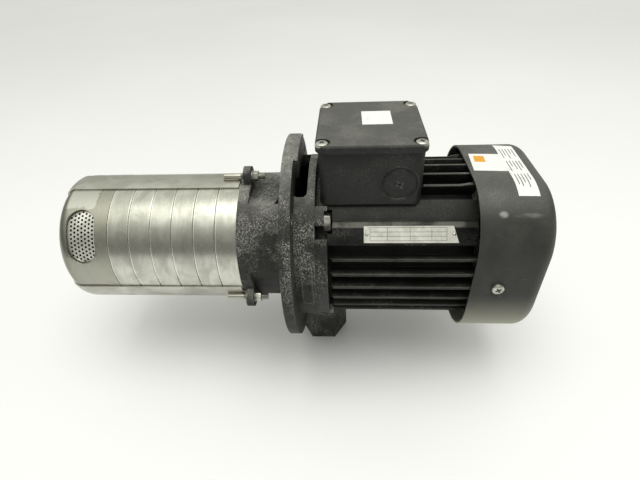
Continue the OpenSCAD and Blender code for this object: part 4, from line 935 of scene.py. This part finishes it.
class PUMP_OT_screws(bpy.types.Operator):
    """Models pan head screws with a cross recess, and chamfered hexagon screws and nuts"""

    bl_idname = "pump.screws"
    bl_label = "Screws and nuts"

    def execute(self, context):
        self.lid_screws(context.scene.pump_finish)
        self.cover_screws(context.scene.pump_finish)
        self.hexagon_screws()
        self.strap_nuts()
        return {"FINISHED"}

    @staticmethod
    def pan_head(radius, height, shank_radius, shank, recess):
        """A pan head with a cross recess, its seat at local Z = 0 and its top towards +Z."""
        bm = bmesh.new()
        profile = [(0.0, -shank), (shank_radius, -shank), (shank_radius, 0.0), (radius, 0.0),
                   (radius, height * 0.35), (radius * 0.93, height * 0.72),
                   (radius * 0.74, height * 0.95), (radius * 0.52, height)]
        lathe(bm, profile, Matrix.Identity(4), 32)
        half, arm = recess / 2, recess * 0.13
        cross = []
        for c, s in ((1, 0), (0, 1), (-1, 0), (0, -1)):
            for x, y in ((arm, -arm), (half, -arm), (half, arm)):
                cross.append((x * c - y * s, x * s + y * c))
        top = [v for v in bm.verts if abs(v.co.z - height) < 1e-9]
        top.sort(key=lambda v: math.atan2(v.co.y, v.co.x))
        rim = [bm.verts.new((x, y, height)) for x, y in cross]
        deep = [bm.verts.new((x * 0.8, y * 0.8, height - recess * 0.38)) for x, y in cross]
        edges = []
        for ring in (top, rim):
            for a, b in zip(ring, ring[1:] + ring[:1]):
                edges.append(bm.edges.get((a, b)) or bm.edges.new((a, b)))
        bmesh.ops.triangle_fill(bm, edges=edges, use_beauty=True)
        join_rings(bm, [rim, deep])
        bm.faces.new(deep)
        return mesh_from(bm, "pan_head_screw")

    def lid_screws(self, settings):
        """One screw in each corner of the lid, each turned to its own angle."""
        low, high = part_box("lid_screws")
        radius, height, shank_radius = 0.0047, 0.0026, 0.002
        seat = high.z - height
        places = []
        for x in (low.x + radius, high.x - radius):
            for y in (low.y + radius, high.y - radius):
                places.append(Matrix.Translation((x, y, seat)) @ turned(20 + 900 * x, "Z"))
        mesh = self.pan_head(radius, height, shank_radius, seat - low.z, settings.recess_size)
        obj = spread_pieces("lid_pan_screws", mesh, places, "fastener")
        smooth_by_angle(obj.data)
        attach(obj, "frame")
        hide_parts("lid_screws")

    def cover_screws(self, settings):
        """Screws at the front, the back and the underside of the fan cover."""
        low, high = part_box("cover_screws")
        radius, height, shank_radius, shank = 0.0048, 0.0028, 0.0025, 0.020
        x = (low.x + high.x) / 2
        places = []
        for angle in (0.0, 180.0, 270.0):
            place = at_angle(angle, x, high.y - height)
            places.append(place @ turned(90, "X") @ turned(33 + angle, "Z"))
        mesh = self.pan_head(radius, height, shank_radius, shank, settings.recess_size * 1.05)
        obj = spread_pieces("cover_pan_screws", mesh, places, "fastener")
        smooth_by_angle(obj.data)
        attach(obj, "frame")
        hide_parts("cover_screws")

    @staticmethod
    def hexagon(bm, flats, height, chamfer, bore=0.0, washer=0.0):
        """A hexagonal nut or head that stands on local Z = 0, its upper end turned to a chamfer.

        A nut has a bore, and its lower end is chamfered too. A head stands on a washer face instead
        and has a dished top.
        """
        steps = 48
        sixth = math.pi / 6
        side, corner = flats / 2, flats / 2 / math.cos(sixth)
        cut_side = side * 0.97
        if washer:
            limits = [(0.0, cut_side), (washer, cut_side), (washer, corner)]
        else:
            limits = [(0.0, side), (chamfer, corner)]
        for t in (1 / 3, 2 / 3, 1.0):
            limits.append((height - chamfer * (1 - t), corner - (corner - cut_side) * t))
        rows = []
        for z, limit in limits:
            row = []
            for k in range(steps):
                a = 2 * math.pi * k / steps
                r = min(side / math.cos((a + sixth) % (2 * sixth) - sixth), limit)
                row.append(bm.verts.new((r * math.cos(a + sixth), r * math.sin(a + sixth), z)))
            rows.append(row)
        join_rings(bm, rows)
        if bore:
            inner = [[bm.verts.new(point) for point in circle(bore, z, steps)] for z in (0.0, height)]
            shift = steps // 12  # the rows start this many steps further round than a circle
            for ring, row in zip(inner, (rows[0], rows[-1])):
                join_rings(bm, [ring[shift:] + ring[:shift], row])
            join_rings(bm, inner)
        else:
            dish = [bm.verts.new((v.co.x * 0.72, v.co.y * 0.72, v.co.z)) for v in rows[-1]]
            floor = [bm.verts.new((v.co.x * 0.94, v.co.y * 0.94, v.co.z - 0.0003)) for v in dish]
            join_rings(bm, [rows[-1], dish, floor])
            bm.faces.new(floor)
            bm.faces.new(rows[0])

    def hexagon_screws(self):
        """The screws that hold the motor, each turned to its own angle."""
        seat, shank_radius = 0.0315, 0.004
        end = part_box("flange_screws")[0].x - seat
        bm = bmesh.new()
        self.hexagon(bm, 0.013, 0.0053, 0.0009, washer=0.0004)
        lathe(bm, [(0.0, end), (shank_radius - 0.0004, end), (shank_radius, end + 0.0006),
                   (shank_radius, 0.0002), (0.0, 0.0002)], Matrix.Identity(4), 24)
        mesh = mesh_from(bm, "hexagon_screw")
        places = []
        for angle in MOTOR_SCREW_ANGLES:
            place = at_angle(angle, seat, MOTOR_SCREW_DISTANCE)
            places.append(place @ turned(90, "Y") @ turned(angle * 1.3, "Z"))
        obj = spread_pieces("motor_hex_screws", mesh, places, "dull_zinc")
        smooth_by_angle(obj.data, 25.0)
        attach(obj, "frame")
        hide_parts("flange_screws")

    def strap_nuts(self):
        """The nut on each stud, turned to its own angle."""
        bm = bmesh.new()
        self.hexagon(bm, 0.008, 0.0047, 0.0005, bore=0.00255)
        mesh = mesh_from(bm, "hexagon_nut")
        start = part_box("strap_nuts")[0].x
        places = []
        for angle in STRAP_ANGLES:
            place = at_angle(angle, start, STUD_DISTANCE)
            places.append(place @ turned(90, "Y") @ turned(angle * 0.7, "Z"))
        obj = spread_pieces("strap_hex_nuts", mesh, places, "fastener")
        smooth_by_angle(obj.data, 25.0)
        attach(obj, "frame")
        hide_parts("strap_nuts")


class PUMP_OT_strap_details(bpy.types.Operator):
    """Adds the rolled threads of the strap studs and the weld beads beside them"""

    bl_idname = "pump.strap_details"
    bl_label = "Stud threads and weld beads"

    def execute(self, context):
        self.threads(context.scene.pump_finish.thread_pitch)
        self.beads()
        return {"FINISHED"}

    @staticmethod
    def threads(pitch):
        """A helical ridge on each stud, from behind the nut to the stud's end, and beside the ear."""
        steps, fading = 20, 6  # points in one turn, and those over which an end of the ridge fades
        core, ridge, half = 0.00249, 0.00022, 0.42  # half its width is a share of the pitch
        lengths = [(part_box("strap_nuts")[1].x + 0.0001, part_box("strap_1")[1].x - 0.0008),
                   (-0.0405, -0.0374)]
        bm = bmesh.new()
        for angle in STRAP_ANGLES:
            place = at_angle(angle, 0.0, STUD_DISTANCE)
            for start, end in lengths:
                count = int((end - start) / pitch * steps)
                rows = []
                for k in range(count + 1):
                    a = 2 * math.pi * k / steps
                    fade = min(1.0, k / fading, (count - k) / fading)
                    x = start + pitch * k / steps
                    row = []
                    for side, radius in ((-half, core), (0.0, core + ridge * fade), (half, core)):
                        point = (x + side * pitch, radius * math.cos(a), radius * math.sin(a))
                        row.append(bm.verts.new(place @ Vector(point)))
                    rows.append(row)
                join_rings(bm, rows)
                bm.faces.new(rows[0])
                bm.faces.new(rows[-1])
        obj = add_object("stud_threads", mesh_from(bm, "stud_threads"), "fastener")
        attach(obj, "frame")

    @staticmethod
    def beads():
        """Overlapping flat lumps of weld along both sides of each stud, none placed just as the next."""
        bm = bmesh.new()
        bmesh.ops.create_icosphere(bm, subdivisions=2, radius=1.0)
        for vertex in bm.verts:
            vertex.co = Vector((vertex.co.x * 0.00115, vertex.co.y * 0.0009, vertex.co.z * 0.00075))
        mesh = mesh_from(bm, "weld_lump")
        first, step, beside = -0.0545, 0.0014, 0.0021  # along x, and from the middle of the stud
        places = []
        for row, angle in enumerate(STRAP_ANGLES):
            for side in (-1, 1):
                for k in range(9):
                    stray = math.sin(k * 2.3 + row * 1.7 + side)
                    move = Matrix.Translation(
                        (first + k * step + 0.0002 * stray, beside - STUD_DISTANCE,
                         side * (beside + 0.00015 * stray)))
                    places.append(turned(-angle, "X") @ move @ turned(90, "X")
                                  @ Matrix.Rotation(0.5 * stray, 4, "Z"))
        obj = spread_pieces("strap_weld_beads", mesh, places, "weld")
        smooth_by_angle(obj.data, 60.0)
        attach(obj, "frame")


class PUMP_OT_knock_out(bpy.types.Operator):
    """Models the moulded plug of the cable knock-out, with its break groove and screwdriver slot"""

    bl_idname = "pump.knock_out"
    bl_label = "Cable knock-out"

    def execute(self, context):
        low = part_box("terminal_box")[0]
        place = Matrix.Translation((low.x + 0.0584, low.y, low.z + 0.0171)) @ turned(90, "X")
        disc = [(0.0, 0.0001), (0.0066, 0.0001), (0.0102, -0.0001), (0.0112, -0.0004)]
        groove = [(0.0116, -0.0011), (0.0122, -0.0011), (0.0127, -0.0003)]
        lip = [(0.0133, 0.0003), (0.0142, 0.0004), (0.0147, 0.0)]
        bm = bmesh.new()
        lathe(bm, disc + groove + lip, place, 64)
        obj = add_object("knock_out_plug", mesh_from(bm, "knock_out_plug"), "box")
        smooth_by_angle(obj.data, 40.0)
        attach(obj, "frame")
        bm = bmesh.new()
        for angle, half, wide in ((-60.0, 0.0040, 0.0009), (20.0, 0.0030, 0.0007)):
            mark = place @ Matrix.Translation((0.0003, -0.0002, 0.0)) @ turned(angle, "Z")
            slab(bm, rectangle(-half, -wide, half, wide), 0.0003, mark)
        obj = add_object("knock_out_slot", mesh_from(bm, "knock_out_slot"), "ruling")
        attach(obj, "frame")
        return {"FINISHED"}


class PUMP_OT_labels(bpy.types.Operator):
    """Puts the blank labels on the lid and the fan cover, and the blank fields on the nameplate"""

    bl_idname = "pump.labels"
    bl_label = "Labels and nameplate"

    def execute(self, context):
        thick = context.scene.pump_finish.label_thickness
        self.plate("lid_label", LID_LABEL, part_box("box_lid")[1].z, thick, "label")
        self.wrapped("cover_label_front", FRONT_LABEL, 0.0, thick, "label", "plate_aluminium")
        self.wrapped("cover_label_patch", FRONT_PATCH, thick, thick * 0.4, "amber", "box_paint")
        self.wrapped("cover_label_rear", REAR_LABEL, 0.0, thick * 1.2, "label", "plate_aluminium")
        self.wrapped("cover_label_rows", self.ruled_rows(), thick * 1.2, thick * 0.2, "ruling",
                     "plastic_black")
        self.nameplate_fields()
        return {"FINISHED"}

    @staticmethod
    def ruled_rows():
        """The sides of the dark bars on the rear cover label: five rows, three bars in each."""
        lengths = (0.016, 0.012, 0.017, 0.009, 0.014)
        wide = 0.0006
        sides = []
        for row in range(5):
            x = 0.1756 + row * 0.0024
            for part in range(3):
                y = 0.024 - part * 0.021
                end = y - lengths[(row + part * 2) % 5]
                sides += [(x, y, x, end), (x + wide, y, x + wide, end)]
        return sides

    @staticmethod
    def plate(name, outline, height, thick, finish):
        """A flat label that lies at a height, its foot just sunk into what carries it."""
        sunk = 0.00002
        bm = bmesh.new()
        slab(bm, outline, thick, Matrix.Translation((0, 0, height - sunk)))
        obj = add_object(name, mesh_from(bm, name), finish)
        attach(obj, "frame")

    @staticmethod
    def wrapped(name, sides, lift, thick, finish, slot):
        """Thin sheets that follow the top of the fan cover, each between two of the sides."""
        steps, sunk = 18, 0.00003
        bm = bmesh.new()
        for k in range(0, len(sides), 2):
            rings = []
            for t in range(steps + 1):
                pairs = []
                for x0, y0, x1, y1 in sides[k:k + 2]:
                    x, y = x0 + (x1 - x0) * t / steps, y0 + (y1 - y0) * t / steps
                    past = math.copysign(max(0.0, abs(y) - COVER_FLAT), y)
                    rise = math.sqrt(COVER_CORNER ** 2 - past ** 2)
                    face = Vector((x, y, COVER_FLAT + rise))
                    out = Vector((0.0, past, rise)) / COVER_CORNER
                    pairs.append([bm.verts.new(face + out * (lift - sunk)),
                                  bm.verts.new(face + out * (lift + thick))])
                rings.append(pairs[0] + pairs[1][::-1])
            join_rings(bm, rings)
            bm.faces.new(rings[0])
            bm.faces.new(rings[-1])
        obj = add_object(name, mesh_from(bm, name), finish)
        smooth_by_angle(obj.data)
        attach(obj, "frame")

    @staticmethod
    def nameplate_fields():
        """Blank framed fields and the two rivets of the nameplate."""
        low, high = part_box("nameplate")
        place = at_angle(PLATE_ANGLE, 0.0, PLATE_FACE) @ turned(90, "X")
        left, right = low.x + 0.0045, high.x - 0.009
        foot, head = -0.0066, 0.0036
        line, thick = 0.00025, 0.00003
        bm = bmesh.new()
        for row in range(4):
            y = foot + row * 0.0033
            slab(bm, rectangle(left, y, right, y + line), thick, place)
        for x in (left, left + 0.013, left + 0.030, left + 0.046, right):
            slab(bm, rectangle(x, foot, x + line, head), thick, place)
        obj = add_object("nameplate_fields", mesh_from(bm, "nameplate_fields"), "ruling")
        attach(obj, "frame")
        bm = bmesh.new()
        dome = [(0.0014, -0.0004), (0.0014, 0.0001), (0.0011, 0.0005), (0.0006, 0.0007), (0.0, 0.00075)]
        for x in (low.x + 0.0022, high.x - 0.0035):
            lathe(bm, dome, place @ Matrix.Translation((x, -0.0018, 0.0)), 20)
        rivets = add_object("nameplate_rivets", mesh_from(bm, "nameplate_rivets"), "machined")
        smooth_by_angle(rivets.data)
        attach(rivets, "frame")


class PUMP_OT_stage(bpy.types.Operator):
    """Makes the pale table, the soft light and the camera"""

    bl_idname = "pump.stage"
    bl_label = "Table, light and camera"

    def execute(self, context):
        settings = context.scene.pump_stage
        mesh = bpy.data.meshes.new("pale_table")
        corners = [(x, y, FLOOR_Z - 0.0002) for x, y in rectangle(-6, -6, 6, 6)]
        mesh.from_pydata(corners, [], [(0, 1, 2, 3)])
        table = add_object("pale_table", mesh, "floor")
        self.lamp("key_lamp", (0.10, -0.18, 1.30), (0.02, -0.05, 0.0), 1.1, settings.key_light)
        self.lamp("fill_lamp", (1.3, -0.2, 0.8), (0.0, 0.0, 0.0), 0.9, settings.fill_light)
        self.world(settings.sky_strength)
        data = bpy.data.cameras.new("photo_camera")
        data.sensor_fit = "HORIZONTAL"
        data.lens = settings.focal_length
        data.clip_start = 0.01
        camera = bpy.data.objects.new("photo_camera", data)
        context.scene.collection.objects.link(camera)
        camera.location = CAMERA_PLACE
        camera.rotation_euler = [math.radians(angle) for angle in CAMERA_TURN]
        context.scene.camera = camera
        context.scene.view_settings.view_transform = "Standard"
        return {"FINISHED"}

    @staticmethod
    def lamp(name, place, aim, size, power):
        """A round, faintly warm area lamp that points from its place to its aim."""
        data = bpy.data.lights.new(name, "AREA")
        data.shape = "DISK"
        data.size = size
        data.energy = power
        data.color = (1.0, 1.0, 0.95)
        lamp = bpy.data.objects.new(name, data)
        bpy.context.scene.collection.objects.link(lamp)
        lamp.location = place
        lamp.rotation_euler = (Vector(aim) - Vector(place)).to_track_quat("-Z", "Y").to_euler()

    @staticmethod
    def world(strength):
        """Soft light from all round, and an even pale background where the camera sees past the table.

        The light is stronger from behind and above, with one bright region high up on the left that
        shines in the stainless stack.
        """
        world = bpy.data.worlds.new("studio")
        bpy.context.scene.world = world
        world.use_nodes = True
        n = Nodes(world.node_tree)
        world.node_tree.nodes.clear()
        path = n.add("ShaderNodeLightPath").outputs
        seen = n.plus(path["Is Camera Ray"], path["Is Transmission Ray"], clamp=True)
        x, y, z = n.split(n.add("ShaderNodeTexCoord").outputs["Generated"])[:3]
        level = n.step(y, -0.8, 0.8, 0.27, 0.50)
        level = n.plus(level, n.step(z, 0.22, 0.95, 0.0, 0.52))
        glow = n.times(n.step(z, 0.66, 0.90), n.step(y, 0.30, -0.15))
        glow = n.times(glow, n.step(x, 0.30, -0.50, 0.0, 0.95))
        level = n.plus(level, glow)
        lit = n.add("ShaderNodeBackground")
        lit.inputs[0].default_value = rgb(0.985, 1.0, 0.91)
        n.join(n.times(level, strength), lit.inputs[1])
        plain = n.add("ShaderNodeBackground")
        plain.inputs[0].default_value = rgb(0.90, 0.91, 0.90)
        plain.inputs[1].default_value = 1.0
        mix = n.add("ShaderNodeMixShader")
        n.join(seen, mix.inputs[0])
        n.join(lit.outputs[0], mix.inputs[1])
        n.join(plain.outputs[0], mix.inputs[2])
        n.join(mix.outputs[0], n.add("ShaderNodeOutputWorld").inputs[0])


class PUMP_PT_sidebar(bpy.types.Panel):
    """Lists the settings and the steps of the pump's looks"""

    bl_idname = "PUMP_PT_sidebar"
    bl_label = "Coolant pump"
    bl_space_type = "VIEW_3D"
    bl_region_type = "UI"
    bl_category = "Coolant pump"

    def draw(self, context):
        layout = self.layout
        for group in (context.scene.pump_finish, context.scene.pump_stage):
            for name in group.__annotations__:
                layout.prop(group, name)
        for step in STEPS:
            layout.operator(step.bl_idname)


STEPS = [PUMP_OT_finishes, PUMP_OT_housings, PUMP_OT_screws, PUMP_OT_strap_details, PUMP_OT_knock_out,
         PUMP_OT_labels, PUMP_OT_stage]
CLASSES = [PumpFinishSettings, PumpStageSettings] + STEPS + [PUMP_PT_sidebar]


def register():
    for item in CLASSES:
        bpy.utils.register_class(item)
    bpy.types.Scene.pump_finish = bpy.props.PointerProperty(type=PumpFinishSettings)
    bpy.types.Scene.pump_stage = bpy.props.PointerProperty(type=PumpStageSettings)


def unregister():
    del bpy.types.Scene.pump_stage
    del bpy.types.Scene.pump_finish
    for item in reversed(CLASSES):
        bpy.utils.unregister_class(item)


def main():
    """Runs the steps in order."""
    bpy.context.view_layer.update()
    register()
    bpy.ops.pump.finishes()
    bpy.ops.pump.housings()
    bpy.ops.pump.screws()
    bpy.ops.pump.strap_details()
    bpy.ops.pump.knock_out()
    bpy.ops.pump.labels()
    bpy.ops.pump.stage()


if __name__ == "__main__":
    main()
